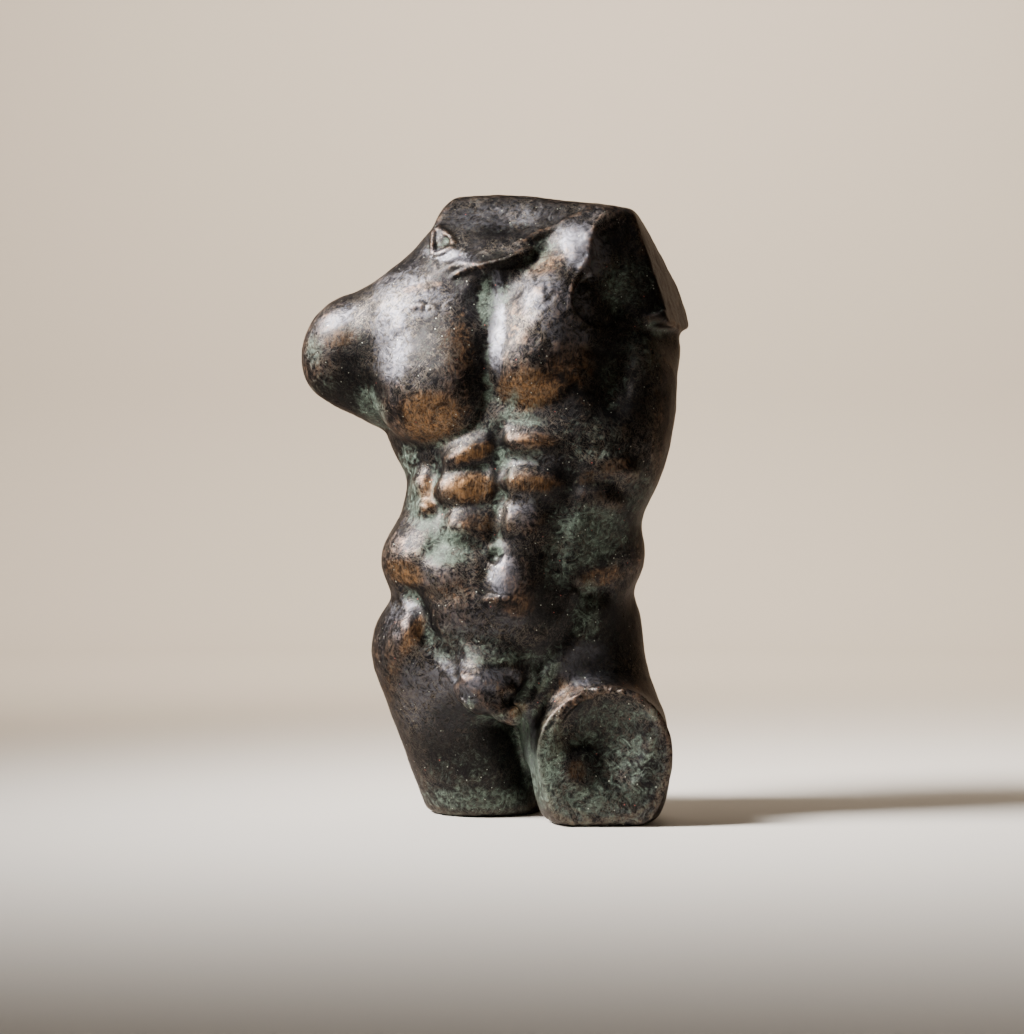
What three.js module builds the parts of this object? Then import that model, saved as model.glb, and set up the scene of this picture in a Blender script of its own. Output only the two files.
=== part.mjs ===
// Bronze torso of a standing man in the antique manner: head, arms and lower thighs broken away.
// Millimetres, +Z up, the front faces -Y, and the torso stands on the flat undersides of its thighs.
// Right and left are the figure's own, so its right side is at -X.

import * as THREE from 'three';
import { SimplifyModifier } from 'three/addons/modifiers/SimplifyModifier.js';

// Driving dimensions
const HEIGHT = 600;
const HALF_WIDTH = 200;
const HALF_DEPTH = 130;
const CENTRING = new THREE.Vector3(-0.6, -5.4, 0);

// Fineness of the faceted skin
const PITCH = 6.5;
const SKIN_VERTICES = 4300;
const FLAT_BAND = 0.6;
const GRADIENT_STEP = 0.4;
const LONGEST_MOVE = 3;

// Sides that a surface form is laid on
const FRONT = -1;
const BACK = 1;

// Trunk outlines from the thighs to the neck: turn is about +Z in degrees, square above 2 is boxier
const TRUNK = [
  { z: 60, x: 14, y: 10, halfWidth: 98, halfDepth: 72, turn: 4, square: 2.2 },
  { z: 110, x: 14, y: 10, halfWidth: 112, halfDepth: 80, turn: 4, square: 2.2 },
  { z: 150, x: 13, y: 8, halfWidth: 121, halfDepth: 82, turn: 6, square: 2.2 },
  { z: 185, x: 13, y: 2, halfWidth: 117, halfDepth: 79, turn: 8, square: 2.3 },
  { z: 215, x: 16, y: -2, halfWidth: 112, halfDepth: 76, turn: 10, square: 2.3 },
  { z: 254, x: 18, y: -6, halfWidth: 112, halfDepth: 72, turn: 12, square: 2.3 },
  { z: 289, x: 26, y: -8, halfWidth: 117, halfDepth: 70, turn: 14, square: 2.3 },
  { z: 324, x: 37, y: -4, halfWidth: 123, halfDepth: 74, turn: 16, square: 2.3 },
  { z: 360, x: 39, y: 0, halfWidth: 131, halfDepth: 80, turn: 17, square: 2.3 },
  { z: 400, x: 38, y: 6, halfWidth: 136, halfDepth: 82, turn: 17, square: 2.3 },
  { z: 440, x: 36, y: 9, halfWidth: 136, halfDepth: 82, turn: 17, square: 2.3 },
  { z: 480, x: 24, y: 12, halfWidth: 124, halfDepth: 76, turn: 16, square: 2.2 },
  { z: 515, x: 14, y: 14, halfWidth: 98, halfDepth: 66, turn: 15, square: 2.1 },
  { z: 550, x: 8, y: 14, halfWidth: 72, halfDepth: 58, turn: 14, square: 2.0 },
  { z: 600, x: 6, y: 14, halfWidth: 46, halfDepth: 50, turn: 14, square: 2.0 },
  { z: 640, x: 6, y: 14, halfWidth: 36, halfDepth: 44, turn: 14, square: 2.0 },
];
const TRUNK_FLOOR = 96;
const TRUNK_FLOOR_BLEND = 50;

// Muscles laid on the body as half-sunk lumps: at is (x, z) on the surface, rise is how far they stand out
const BOSSES = [
  // stomach, from the ribs down to the navel
  { at: [-22, 348], radii: [27, 18, 13], rise: 8, tilt: -24, blend: 13, side: FRONT },
  { at: [-24, 314], radii: [33, 20, 21], rise: 8.5, tilt: -4, blend: 13, side: FRONT },
  { at: [-20, 277], radii: [29, 18, 19], rise: 6, tilt: 0, blend: 14, side: FRONT },
  { at: [37, 358], radii: [30, 18, 12], rise: 6.5, tilt: 2, blend: 13, side: FRONT },
  { at: [36, 320], radii: [34, 20, 19], rise: 7.5, tilt: 0, blend: 13, side: FRONT },
  { at: [28, 281], radii: [25, 18, 24], rise: 6.5, tilt: 0, blend: 14, side: FRONT },
  { at: [19, 228], radii: [27, 20, 32], rise: 8, tilt: 6, blend: 18, side: FRONT },
  { at: [-30, 236], radii: [32, 18, 22], rise: 5, tilt: 0, blend: 14, side: FRONT },
  // ribs and the muscle over the right hip
  { at: [-64, 316], radii: [14, 15, 16], rise: 5, tilt: -12, blend: 10, side: FRONT },
  { at: [-60, 296], radii: [14, 14, 10], rise: 4, tilt: 16, blend: 9, side: FRONT },
  { at: [107, 334], radii: [26, 16, 12], rise: 5, tilt: 14, blend: 12, side: FRONT },
  { at: [96, 306], radii: [22, 14, 11], rise: 4, tilt: 16, blend: 12, side: FRONT },
  { at: [-79, 179], radii: [13, 15, 26], rise: 4, tilt: 32, blend: 16, side: FRONT },
  // shoulder blades and the broad muscles of the back
  { at: [-34, 452], radii: [44, 26, 52], rise: 9, tilt: 12, blend: 18, side: BACK },
  { at: [112, 448], radii: [42, 26, 52], rise: 9, tilt: -10, blend: 18, side: BACK },
  { at: [-46, 425], radii: [26, 20, 22], rise: 5, tilt: 0, blend: 12, side: BACK },
  { at: [120, 420], radii: [26, 20, 22], rise: 5, tilt: 0, blend: 12, side: BACK },
  { at: [34, 515], radii: [46, 26, 52], rise: 7, tilt: 0, blend: 20, side: BACK },
  { at: [54, 440], radii: [22, 18, 56], rise: 5, tilt: -8, blend: 12, side: BACK },
  { at: [-38, 366], radii: [40, 26, 48], rise: 6, tilt: 10, blend: 18, side: BACK },
  { at: [124, 366], radii: [34, 26, 48], rise: 6, tilt: -10, blend: 18, side: BACK },
];

// Grooves (negative height) and ridges drawn along (x, z) lines on the body
const STROKES = [
  // midline of the stomach
  { line: [[2, 378], [6, 350], [6, 310], [2, 275], [1, 258]], width: 13, height: -4, side: FRONT },
  { line: [[1, 258], [-3, 245], [-2, 222], [-2, 212]], width: 16, height: -2.2, side: FRONT },
  // outer edges of the stomach muscle
  { line: [[-46, 350], [-54, 330], [-52, 300], [-50, 270], [-62, 240]], width: 15, height: -2, side: FRONT },
  { line: [[68, 350], [72, 322], [64, 295], [58, 262], [62, 235]], width: 17, height: -2.5, side: FRONT },
  // hip lines down to the groin
  {
    line: [[-92, 220], [-86, 218], [-76, 212], [-68, 196], [-58, 172], [-40, 156], [-14, 152]],
    width: 15, height: -5, side: FRONT,
  },
  {
    line: [[116, 221], [104, 218], [86, 212], [76, 192], [60, 170], [40, 154], [14, 152]],
    width: 15, height: -5, side: FRONT,
  },
  { line: [[-46, 160], [-38, 142], [-30, 126], [-8, 104], [18, 90]], width: 11, height: -5, side: FRONT },
  { line: [[46, 160], [38, 142], [30, 122], [22, 96]], width: 12, height: -6, side: FRONT },
  // spine, the cords of muscle beside it, and the cleft below
  {
    line: [[26, 560], [42, 500], [56, 440], [62, 380], [58, 320], [44, 270], [32, 230], [26, 200]],
    width: 20, height: -8, side: BACK,
  },
  { line: [[34, 350], [30, 310], [20, 262], [12, 226]], width: 24, height: 6, side: BACK },
  { line: [[86, 350], [80, 310], [66, 262], [50, 226]], width: 24, height: 6, side: BACK },
  { line: [[26, 196], [22, 170], [20, 140], [20, 110], [22, 84]], width: 13, height: -9, side: BACK },
];
const STROKE_POINTS = 20;
const STROKE_FADE = 5;

// Small hollows: the navel and the two dimples over the hips at the back
const HOLLOWS = [
  { at: [1, 252], radius: 10, depth: 6, side: FRONT },
  { at: [2, 212], radius: 14, depth: 4, side: BACK },
  { at: [52, 212], radius: 14, depth: 4, side: BACK },
];

// Smooth smaller of two distances: the crease between them is filled over the blend width
function softMin(a, b, blend) {
  const overlap = Math.max(blend - Math.abs(a - b), 0) / blend;
  return Math.min(a, b) - overlap * overlap * blend * 0.25;
}

function smoothStep(value) {
  const t = THREE.MathUtils.clamp(value, 0, 1);
  return t * t * (3 - 2 * t);
}

// A lump of clay as a signed distance: negative inside, positive outside
class Clay {
  constructor(distance) {
    this.distance = distance;
  }

  // The blend is a width, or a function of the place where the clays meet
  join(other, blend) {
    const width = typeof blend === 'function' ? blend : () => blend;
    return new Clay((p) => softMin(this.distance(p), other.distance(p), width(p)));
  }

  keepInside(other, blend) {
    return new Clay((p) => -softMin(-this.distance(p), -other.distance(p), blend));
  }

  cutAway(other, blend) {
    return this.keepInside(new Clay((p) => -other.distance(p)), blend);
  }
}

// Ellipsoid turned about its own centre by degrees about x, y and z
function ellipsoid(centre, radii, turn = [0, 0, 0]) {
  const middle = new THREE.Vector3(...centre);
  const size = new THREE.Vector3(...radii);
  const angles = turn.map(THREE.MathUtils.degToRad);
  const toLocal = new THREE.Matrix4().makeRotationFromEuler(new THREE.Euler(...angles, 'ZYX')).invert();
  const local = new THREE.Vector3();
  return new Clay((p) => {
    local.copy(p).sub(middle).applyMatrix4(toLocal).divide(size);
    const reach = local.length();
    const slope = local.divide(size).length();
    return (reach * (reach - 1)) / Math.max(slope, 1e-6);
  });
}

// Round-ended limb from one ball to another
function limb(from, to, fromRadius, toRadius) {
  const start = new THREE.Vector3(...from);
  const axis = new THREE.Vector3(...to).sub(start);
  const local = new THREE.Vector3();
  return new Clay((p) => {
    local.copy(p).sub(start);
    const along = THREE.MathUtils.clamp(local.dot(axis) / axis.lengthSq(), 0, 1);
    const radius = THREE.MathUtils.lerp(fromRadius, toRadius, along);
    return local.addScaledVector(axis, -along).length() - radius;
  });
}

// Everything behind a flat face that looks along its normal
function halfSpace(point, normal) {
  const face = new THREE.Plane().setFromNormalAndCoplanarPoint(
    new THREE.Vector3(...normal).normalize(),
    new THREE.Vector3(...point),
  );
  return new Clay((p) => face.distanceToPoint(p));
}

function blendAll(clays, blend) {
  return clays.reduce((whole, clay) => whole.join(clay, blend));
}

// Trunk outline at any height, eased between the named ones
function trunkOutline(z) {
  const last = TRUNK.length - 1;
  const height = THREE.MathUtils.clamp(z, TRUNK[0].z, TRUNK[last].z);
  const above = TRUNK.findIndex((outline, index) => index > 0 && height <= outline.z);
  const below = above - 1;
  const lower = TRUNK[below];
  const upper = TRUNK[above];
  const before = TRUNK[Math.max(below - 1, 0)];
  const after = TRUNK[Math.min(above + 1, last)];
  const span = upper.z - lower.z;
  const t = (height - lower.z) / span;
  const ease = t * t * (3 - 2 * t);
  const outline = {};
  for (const key of ['x', 'y', 'halfWidth', 'halfDepth', 'turn', 'square']) {
    const slopeBelow = (upper[key] - before[key]) / (upper.z - before.z);
    const slopeAbove = (after[key] - lower[key]) / (after.z - lower.z);
    const bend = span * (slopeBelow * t * (1 - t) ** 2 - slopeAbove * t * t * (1 - t));
    outline[key] = THREE.MathUtils.lerp(lower[key], upper[key], ease) + bend;
  }
  return outline;
}

// Place inside the turned trunk: u to the figure's left, v to its back
function inTrunk(u, v, z) {
  const { x, y, turn } = trunkOutline(z);
  const angle = THREE.MathUtils.degToRad(turn);
  return [
    x + u * Math.cos(angle) + v * Math.sin(angle),
    y - u * Math.sin(angle) + v * Math.cos(angle),
    z,
  ];
}

function makeTrunk() {
  const column = new Clay((p) => {
    const { x, y, halfWidth, halfDepth, turn, square } = trunkOutline(p.z);
    const angle = THREE.MathUtils.degToRad(turn);
    const u = (p.x - x) * Math.cos(angle) - (p.y - y) * Math.sin(angle);
    const v = (p.x - x) * Math.sin(angle) + (p.y - y) * Math.cos(angle);
    const share = (Math.abs(u / halfWidth) ** square + Math.abs(v / halfDepth) ** square) ** (1 / square);
    return ((share - 1) * Math.hypot(u, v)) / Math.max(share, 1e-6);
  });
  return column.keepInside(halfSpace([0, 0, TRUNK_FLOOR], [0, 0, -1]), TRUNK_FLOOR_BLEND);
}

function makeWaistAndHips(body) {
  return body
    .join(ellipsoid([113, 24, 410], [53, 58, 92]), 34)
    .join(ellipsoid([139, 18, 454], [40, 44, 34]), 20)
    .join(ellipsoid([-58, 28, 392], [48, 50, 62]), 24)
    .join(ellipsoid([-58, -12, 247], [50, 50, 42]), 20)
    .join(ellipsoid([99, -12, 252], [45, 50, 42]), 20)
    .join(ellipsoid([4, -36, 205], [72, 52, 52]), 12)
    .join(ellipsoid([-4, -54, 146], [40, 34, 28]), 16);
}

function makeButtocks() {
  const right = ellipsoid(inTrunk(-50, 40, 150), [56, 58, 56])
    .join(ellipsoid(inTrunk(-62, 20, 176), [48, 60, 50]), 20);
  const left = ellipsoid(inTrunk(52, 42, 156), [56, 58, 60])
    .join(ellipsoid(inTrunk(66, 24, 180), [60, 54, 64]), 20);
  return right.join(left, 6);
}

// Stump of the neck, with the lip of its broken front
function makeNeck() {
  return limb([4, -10, 520], [2, -8, 600], 47, 58)
    .keepInside(halfSpace([-46, 0, 584], [-0.7, 0, 0.7]), 8)
    .join(ellipsoid([-6, -34, 531], [50, 25, 13], [0, -8, -22]), 8);
}

function makeLeftShoulder() {
  const mass = blendAll([
    limb([20, 4, 560], [104, -12, 542], 41, 47),
    limb([104, -8, 532], [152, -2, 491], 58, 56),
    ellipsoid([150, 6, 494], [56, 58, 44]),
  ], 24);
  return mass.keepInside(halfSpace([140, -40, 468], [0.04, 0.02, -1]), 8);
}

function makeRightArm() {
  const stump = blendAll([
    ellipsoid([-134, 38, 446], [51, 46, 57], [0, -14, 0]),
    ellipsoid([-110, 30, 410], [28, 36, 36]),
    limb([-84, 20, 471], [-140, 38, 440], 46, 42),
    limb([-50, 14, 512], [-130, 34, 462], 30, 34),
  ], 22);
  return stump.keepInside(halfSpace([-150, 45, 391], [-0.46, 0.05, -0.88]), 12);
}

function makeRightThigh() {
  return limb([-54, 12, 160], [-4, 43, -10], 65, 55);
}

// The left thigh steps forward and ends in an upright oval break with a sharp rim and a scooped face
function makeLeftThigh() {
  const mass = blendAll([
    limb([71, 14, 172], [95, -14, 84], 68, 65),
    limb([96, 0, 76], [108, -140, 64], 66, 61),
    ellipsoid([106, -40, 36], [58, 76, 58]),
    ellipsoid([76, -40, 30], [34, 54, 42]),
  ], 18);
  return mass
    .keepInside(halfSpace([104, -87, 66], [0.02, -1, -0.05]), 3)
    .cutAway(ellipsoid([107, -106, 70], [50, 30, 56]), 3)
    .cutAway(ellipsoid([94, -106, 90], [36, 30, 36]), 26)
    .join(ellipsoid([79, -72, 52], [12, 10, 16], [0, 20, 0]), 16);
}

function makeRightChest() {
  return blendAll([
    ellipsoid([-64, -25, 408], [52, 38, 51], [0, 0, -26]),
    ellipsoid([-34, -42, 416], [30, 34, 52], [0, 0, -10]),
    ellipsoid([-60, -10, 444], [54, 44, 72], [0, 0, -24]),
  ], 22);
}

function makeLeftChest() {
  return blendAll([
    ellipsoid([36, -52, 428], [42, 40, 45]),
    ellipsoid([54, -50, 440], [36, 40, 44], [0, 0, 8]),
    ellipsoid([56, -48, 468], [42, 40, 50], [0, 24, 0]),
    limb([60, -48, 484], [96, -36, 546], 38, 28),
  ], 20);
}

// Broken remnant below the belly
function makeRemnant() {
  return blendAll([
    ellipsoid([-9, -79, 129], [31, 18, 19], [0, 12, 0]),
    ellipsoid([-2, -84, 112], [25, 15, 12], [0, 18, 0]),
    ellipsoid([19, -86, 104], [9, 10, 9]),
  ], 8)
    .cutAway(ellipsoid([18, -98, 120], [8, 10, 9]), 4)
    .cutAway(ellipsoid([-34, -98, 118], [8, 10, 7]), 4);
}

// Blend that widens with height, so a chest muscle is crisp below and melts away above
function widening(fromZ, toZ, narrow, wide) {
  return (p) => THREE.MathUtils.lerp(narrow, wide, smoothStep((p.z - fromZ) / (toZ - fromZ)));
}

function makeMasses() {
  return makeWaistAndHips(makeTrunk())
    .join(makeButtocks(), 18)
    .join(limb([-18, 18, 555], [-94, 24, 478], 35, 41), 20)
    .join(makeNeck(), 14)
    .join(makeLeftShoulder(), 16)
    .join(makeRightArm(), 12)
    .join(makeRightThigh(), 10)
    .join(makeLeftThigh(), 10)
    .join(limb([22, 20, 120], [37, 26, 46], 22, 15), 8)
    .join(makeRightChest(), widening(380, 470, 8, 34))
    .join(makeLeftChest(), widening(400, 500, 6, 16));
}

// First place on the surface that a straight look from the front or the back meets at (x, z)
function sight(clay, [x, z], side) {
  const step = 2;
  const eye = new THREE.Vector3(x, side * HALF_DEPTH, z);
  let outside = clay.distance(eye);
  while (Math.abs(eye.y) <= HALF_DEPTH) {
    eye.y -= side * step;
    const distance = clay.distance(eye);
    if (distance < 0) {
      eye.y += (side * step * distance) / (distance - outside);
      return eye;
    }
    outside = distance;
  }
  throw new Error(`nothing to sight at ${x}, ${z}`);
}

function addBosses(body) {
  const masses = body;
  return BOSSES.reduce((whole, { at, radii, rise, tilt, blend, side }) => {
    const surface = sight(masses, at, side);
    const centre = [surface.x, surface.y - side * (radii[1] - rise), surface.z];
    return whole.join(ellipsoid(centre, radii, [0, tilt, 0]), blend);
  }, body);
}

// The broken left shoulder in front: an oval patch sunk to a flat, slanting floor
function makeShoulderBreak() {
  const patch = ellipsoid([140, -60, 532], [50, 90, 54])
    .join(ellipsoid([100, -60, 491], [28, 90, 25], [0, -10, 0]), 4);
  return patch.keepInside(halfSpace([105, -66, 510], [-0.34, 0.93, -0.11]), 2);
}

function addBreaks(body) {
  return body
    .join(makeRemnant(), 6)
    .cutAway(ellipsoid([117, -100, 430], [27, 33, 50], [0, 8, 0]), 18)
    .cutAway(makeShoulderBreak(), 3)
    .cutAway(ellipsoid([-8, -79, 501], [32, 26, 21], [0, -10, -10]), 7)
    .keepInside(halfSpace([0, -58, 530], [-0.26, -0.72, 0.64]), 4)
    .cutAway(ellipsoid([0, -62, 584], [50, 42, 34]), 8)
    .keepInside(halfSpace([10, 0, HEIGHT], [0.14, -0.05, 1]), 7)
    .keepInside(halfSpace([-30, 0, HEIGHT], [-0.08, 0, 1]), 8)
    .keepInside(halfSpace([146, -50, 531], [0.905, -0.26, 0.3]), 3)
    .keepInside(halfSpace([134, 6, 590], [0.86, -0.12, 0.5]), 6)
    .keepInside(halfSpace([0, 0, 0], [0, 0, -1]), 10);
}

// Height that one stroke adds at a place, fading out at both ends
function makeStroke(body, { line, width, height, side }) {
  const sighted = line.map((at) => sight(body, at, side));
  const points = new THREE.CatmullRomCurve3(sighted, false, 'catmullrom').getPoints(STROKE_POINTS);
  const reach = new THREE.Box3().setFromPoints(points).expandByScalar(width);
  const segment = new THREE.Line3();
  const nearest = new THREE.Vector3();
  return (p) => {
    if (!reach.containsPoint(p)) {
      return 0;
    }
    let closest = Infinity;
    let along = 0;
    for (let index = 0; index < STROKE_POINTS; index += 1) {
      segment.set(points[index], points[index + 1]);
      const t = segment.closestPointToPointParameter(p, true);
      const distance = segment.at(t, nearest).distanceTo(p);
      if (distance < closest) {
        closest = distance;
        along = (index + t) / STROKE_POINTS;
      }
    }
    const profile = Math.max(1 - (closest / width) ** 2, 0) ** 2;
    return height * profile * smoothStep(Math.min(along, 1 - along) * STROKE_FADE);
  };
}

function makeHollow(body, { at, radius, depth, side }) {
  const centre = sight(body, at, side);
  return (p) => -depth * Math.max(1 - p.distanceToSquared(centre) / radius ** 2, 0) ** 2;
}

function addSurface(body) {
  const reliefs = [
    ...STROKES.map((stroke) => makeStroke(body, stroke)),
    ...HOLLOWS.map((hollow) => makeHollow(body, hollow)),
  ];
  return new Clay((p) => reliefs.reduce((distance, relief) => distance - relief(p), body.distance(p)));
}

// Distances sampled on a regular grid around the body
function sampleGrid(clay, corner, counts) {
  const values = new Float32Array(counts[0] * counts[1] * counts[2]);
  const p = new THREE.Vector3();
  let index = 0;
  for (let k = 0; k < counts[2]; k += 1) {
    for (let j = 0; j < counts[1]; j += 1) {
      for (let i = 0; i < counts[0]; i += 1) {
        p.set(i, j, k).multiplyScalar(PITCH).add(corner);
        values[index] = clay.distance(p);
        index += 1;
      }
    }
  }
  return values;
}

// Mean of the places where the surface crosses one cell's edges, or null in a cell that it misses
function cellVertex(values, cell, steps) {
  const base = cell[0] * steps[0] + cell[1] * steps[1] + cell[2] * steps[2];
  const sum = new THREE.Vector3();
  const crossing = new THREE.Vector3();
  let crossings = 0;
  for (let axis = 0; axis < 3; axis += 1) {
    const [sideA, sideB] = [(axis + 1) % 3, (axis + 2) % 3];
    for (let corner = 0; corner < 4; corner += 1) {
      const a = corner % 2;
      const b = corner >> 1;
      const start = base + a * steps[sideA] + b * steps[sideB];
      const low = values[start];
      const high = values[start + steps[axis]];
      if (low < 0 !== high < 0) {
        crossing.setComponent(axis, low / (low - high));
        crossing.setComponent(sideA, a);
        crossing.setComponent(sideB, b);
        sum.add(crossing);
        crossings += 1;
      }
    }
  }
  return crossings ? sum.divideScalar(crossings).add(new THREE.Vector3(...cell)) : null;
}

// Closed skin around the clay: one vertex in each cell that the surface crosses, two triangles for each
// grid edge that it crosses
function makeSkin(clay) {
  const corner = new THREE.Vector3(-HALF_WIDTH, -HALF_DEPTH, -2 * PITCH);
  const size = new THREE.Vector3(HALF_WIDTH, HALF_DEPTH, HEIGHT + 4 * PITCH).sub(corner);
  const counts = size.toArray().map((length) => Math.ceil(length / PITCH) + 1);
  const steps = [1, counts[0], counts[0] * counts[1]];
  const values = sampleGrid(clay, corner, counts);
  const vertexOf = new Map();
  const positions = [];
  for (let k = 0; k < counts[2] - 1; k += 1) {
    for (let j = 0; j < counts[1] - 1; j += 1) {
      for (let i = 0; i < counts[0] - 1; i += 1) {
        const vertex = cellVertex(values, [i, j, k], steps);
        if (vertex) {
          vertexOf.set(i * steps[0] + j * steps[1] + k * steps[2], positions.length / 3);
          positions.push(...vertex.multiplyScalar(PITCH).add(corner).toArray());
        }
      }
    }
  }
  const triangles = [];
  for (let axis = 0; axis < 3; axis += 1) {
    const [backA, backB] = [steps[(axis + 1) % 3], steps[(axis + 2) % 3]];
    for (let cell = 0; cell < values.length - steps[axis]; cell += 1) {
      const inside = values[cell] < 0;
      if (inside !== values[cell + steps[axis]] < 0) {
        const ring = [cell - backA - backB, cell - backB, cell, cell - backA].map((id) => vertexOf.get(id));
        const [a, b, c, d] = inside ? ring : ring.reverse();
        triangles.push(a, b, c, a, c, d);
      }
    }
  }
  return { positions, triangles };
}

// Slides every vertex along the slope of the field until it lies on the surface
function settle(clay, positions) {
  const p = new THREE.Vector3();
  const probe = new THREE.Vector3();
  const slope = new THREE.Vector3();
  for (let index = 0; index < positions.length; index += 3) {
    p.fromArray(positions, index);
    for (let pass = 0; pass < 3; pass += 1) {
      const distance = clay.distance(p);
      for (let axis = 0; axis < 3; axis += 1) {
        const step = GRADIENT_STEP;
        const ahead = clay.distance(probe.copy(p).setComponent(axis, p.getComponent(axis) + step));
        const behind = clay.distance(probe.copy(p).setComponent(axis, p.getComponent(axis) - step));
        slope.setComponent(axis, (ahead - behind) / (2 * step));
      }
      const move = distance / Math.max(slope.lengthSq(), 0.05);
      p.addScaledVector(slope, -THREE.MathUtils.clamp(move, -LONGEST_MOVE, LONGEST_MOVE));
    }
    p.z = p.z < FLAT_BAND ? 0 : p.z;
    p.toArray(positions, index);
  }
}

async function makeTorsoGeometry() {
  const clay = addSurface(addBreaks(addBosses(makeMasses())));
  const { positions, triangles } = makeSkin(clay);
  settle(clay, positions);
  const fine = new THREE.BufferGeometry();
  fine.setAttribute('position', new THREE.Float32BufferAttribute(positions, 3));
  fine.setIndex(triangles);
  const surplus = positions.length / 3 - SKIN_VERTICES;
  const geometry = await new SimplifyModifier().modify(fine, surplus);
  geometry.translate(...CENTRING.toArray());
  geometry.computeVertexNormals();
  return geometry;
}

const bronze = new THREE.MeshStandardMaterial({ color: 0x3a2f2a, roughness: 0.42, metalness: 0.85 });
const torso = new THREE.Mesh(await makeTorsoGeometry(), bronze);
torso.name = 'torso';

const statue = new THREE.Group();
statue.add(torso);

export default statue;
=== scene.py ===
"""Looks of a bronze torso in the antique manner, broken off at the neck, the arms and the thighs.

The cast skin is sculpted from the same masses as the solid, with the finer relief that the solid
leaves out, and it stands in for the node "torso". Sculpting sizes are in millimetres, in a frame that
CENTRING moves onto the row frame. Blender's own sizes are in metres. Right and left are the figure's.
"""

import logging
import math
from dataclasses import dataclass, field
from enum import Enum
from typing import Any, Optional, Union

import bmesh
import bpy
import numpy as np
from mathutils import Euler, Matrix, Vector, noise


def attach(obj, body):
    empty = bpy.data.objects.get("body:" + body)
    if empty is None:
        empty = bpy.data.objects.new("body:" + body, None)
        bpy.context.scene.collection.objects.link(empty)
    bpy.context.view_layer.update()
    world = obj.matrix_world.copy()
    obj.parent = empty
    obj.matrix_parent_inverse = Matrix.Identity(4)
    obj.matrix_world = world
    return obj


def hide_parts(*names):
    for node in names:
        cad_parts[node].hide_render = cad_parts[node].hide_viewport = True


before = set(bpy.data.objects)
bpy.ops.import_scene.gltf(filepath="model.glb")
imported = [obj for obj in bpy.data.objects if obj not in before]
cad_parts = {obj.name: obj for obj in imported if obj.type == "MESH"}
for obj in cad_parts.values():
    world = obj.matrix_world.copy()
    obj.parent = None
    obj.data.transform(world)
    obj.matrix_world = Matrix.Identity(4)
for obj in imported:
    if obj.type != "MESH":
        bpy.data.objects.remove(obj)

logging.basicConfig(level=logging.INFO, format="%(message)s")
log = logging.getLogger("torso")

MM = 0.001
CENTRING = np.array((-0.6, -5.4, 0.0), np.float32)

Points = np.ndarray
Values = np.ndarray
Triple = tuple[float, float, float]
Spot = tuple[float, float]
Span = tuple[float, float]
Tree = bpy.types.NodeTree
Socket = bpy.types.NodeSocket


class Side(Enum):
    """Side of the body that a form is laid on, as the sign of y that it looks from."""

    FRONT = -1
    BACK = 1


def soft_min(a: Values, b: Values, blend: Union[float, Values]) -> Values:
    """Smooth smaller of two distances.

    Args:
        a: Distances to the first mass.
        b: Distances to the second mass.
        blend: Width over which the crease between them is filled.

    Returns:
        Distances to both masses joined.
    """
    overlap = np.maximum(blend - np.abs(a - b), 0) / blend
    return np.minimum(a, b) - overlap * overlap * blend * 0.25


def smooth_step(values: Values) -> Values:
    """Eases 0 to 1.

    Args:
        values: Numbers of which those below 0 and above 1 are cut to that range.

    Returns:
        Eased numbers.
    """
    t = np.clip(values, 0, 1)
    return t * t * (3 - 2 * t)


class Mass:
    """A mass of clay known by its signed distance, negative inside."""

    # room beyond a blend, outside which a mass leaves the distance as it is
    SLACK = 16.0

    def distance(self, points: Points) -> Values:
        """Signed distance of each point from the surface."""
        raise NotImplementedError

    def within(self, points: Points, margin: float) -> Values:
        """Which points may be closer to the mass than the margin."""
        return np.ones(len(points), bool)

    def join(self, other: "Mass", blend: Union[float, "Widening"]) -> "Mass":
        """This mass with another one pressed onto it."""
        return Joined(self, other, blend)

    def keep_inside(self, other: "Mass", blend: float) -> "Mass":
        """What lies in both masses."""
        return Trimmed(self, other, blend, -1.0)

    def cut_away(self, other: "Mass", blend: float) -> "Mass":
        """This mass with the other one cut out of it."""
        return Trimmed(self, other, blend, 1.0)


@dataclass(frozen=True)
class Widening:
    """Blend that widens with height, so a muscle is crisp below and melts away above."""

    low: float
    high: float
    narrow: float
    wide: float

    def at(self, points: Points) -> Values:
        """Blend width at each point."""
        share = smooth_step((points[:, 2] - self.low) / (self.high - self.low))
        return self.narrow + (self.wide - self.narrow) * share


@dataclass(frozen=True)
class Joined(Mass):
    """Two masses joined softly."""

    first: Mass
    second: Mass
    blend: Union[float, Widening]

    def distance(self, points: Points) -> Values:
        """Signed distance of each point from the joined surface.

        Args:
            points: Places in millimetres.

        Returns:
            Distances, negative inside.
        """
        widest = self.blend.wide if isinstance(self.blend, Widening) else self.blend
        whole = self.first.distance(points)
        near = self.second.within(points, widest + self.SLACK)
        spots = points[near]
        width = self.blend.at(spots) if isinstance(self.blend, Widening) else self.blend
        whole[near] = soft_min(whole[near], self.second.distance(spots), width)
        return whole

    def within(self, points: Points, margin: float) -> Values:
        """Which points may be closer to either mass than the margin."""
        return self.first.within(points, margin) | self.second.within(points, margin)


@dataclass(frozen=True)
class Trimmed(Mass):
    """A mass cut by another: sign 1 takes the other away, -1 keeps what is inside it."""

    body: Mass
    cutter: Mass
    blend: float
    sign: float

    def distance(self, points: Points) -> Values:
        """Signed distance of each point from what is left.

        Args:
            points: Places in millimetres.

        Returns:
            Distances, negative inside.
        """
        whole = self.body.distance(points)
        near = self.cutter.within(points, self.blend + self.SLACK)
        if self.sign < 0:
            near[:] = True
        cut = self.sign * self.cutter.distance(points[near])
        whole[near] = -soft_min(-whole[near], cut, self.blend)
        return whole

    def within(self, points: Points, margin: float) -> Values:
        """Which points may be closer to the body than the margin."""
        return self.body.within(points, margin)


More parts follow.
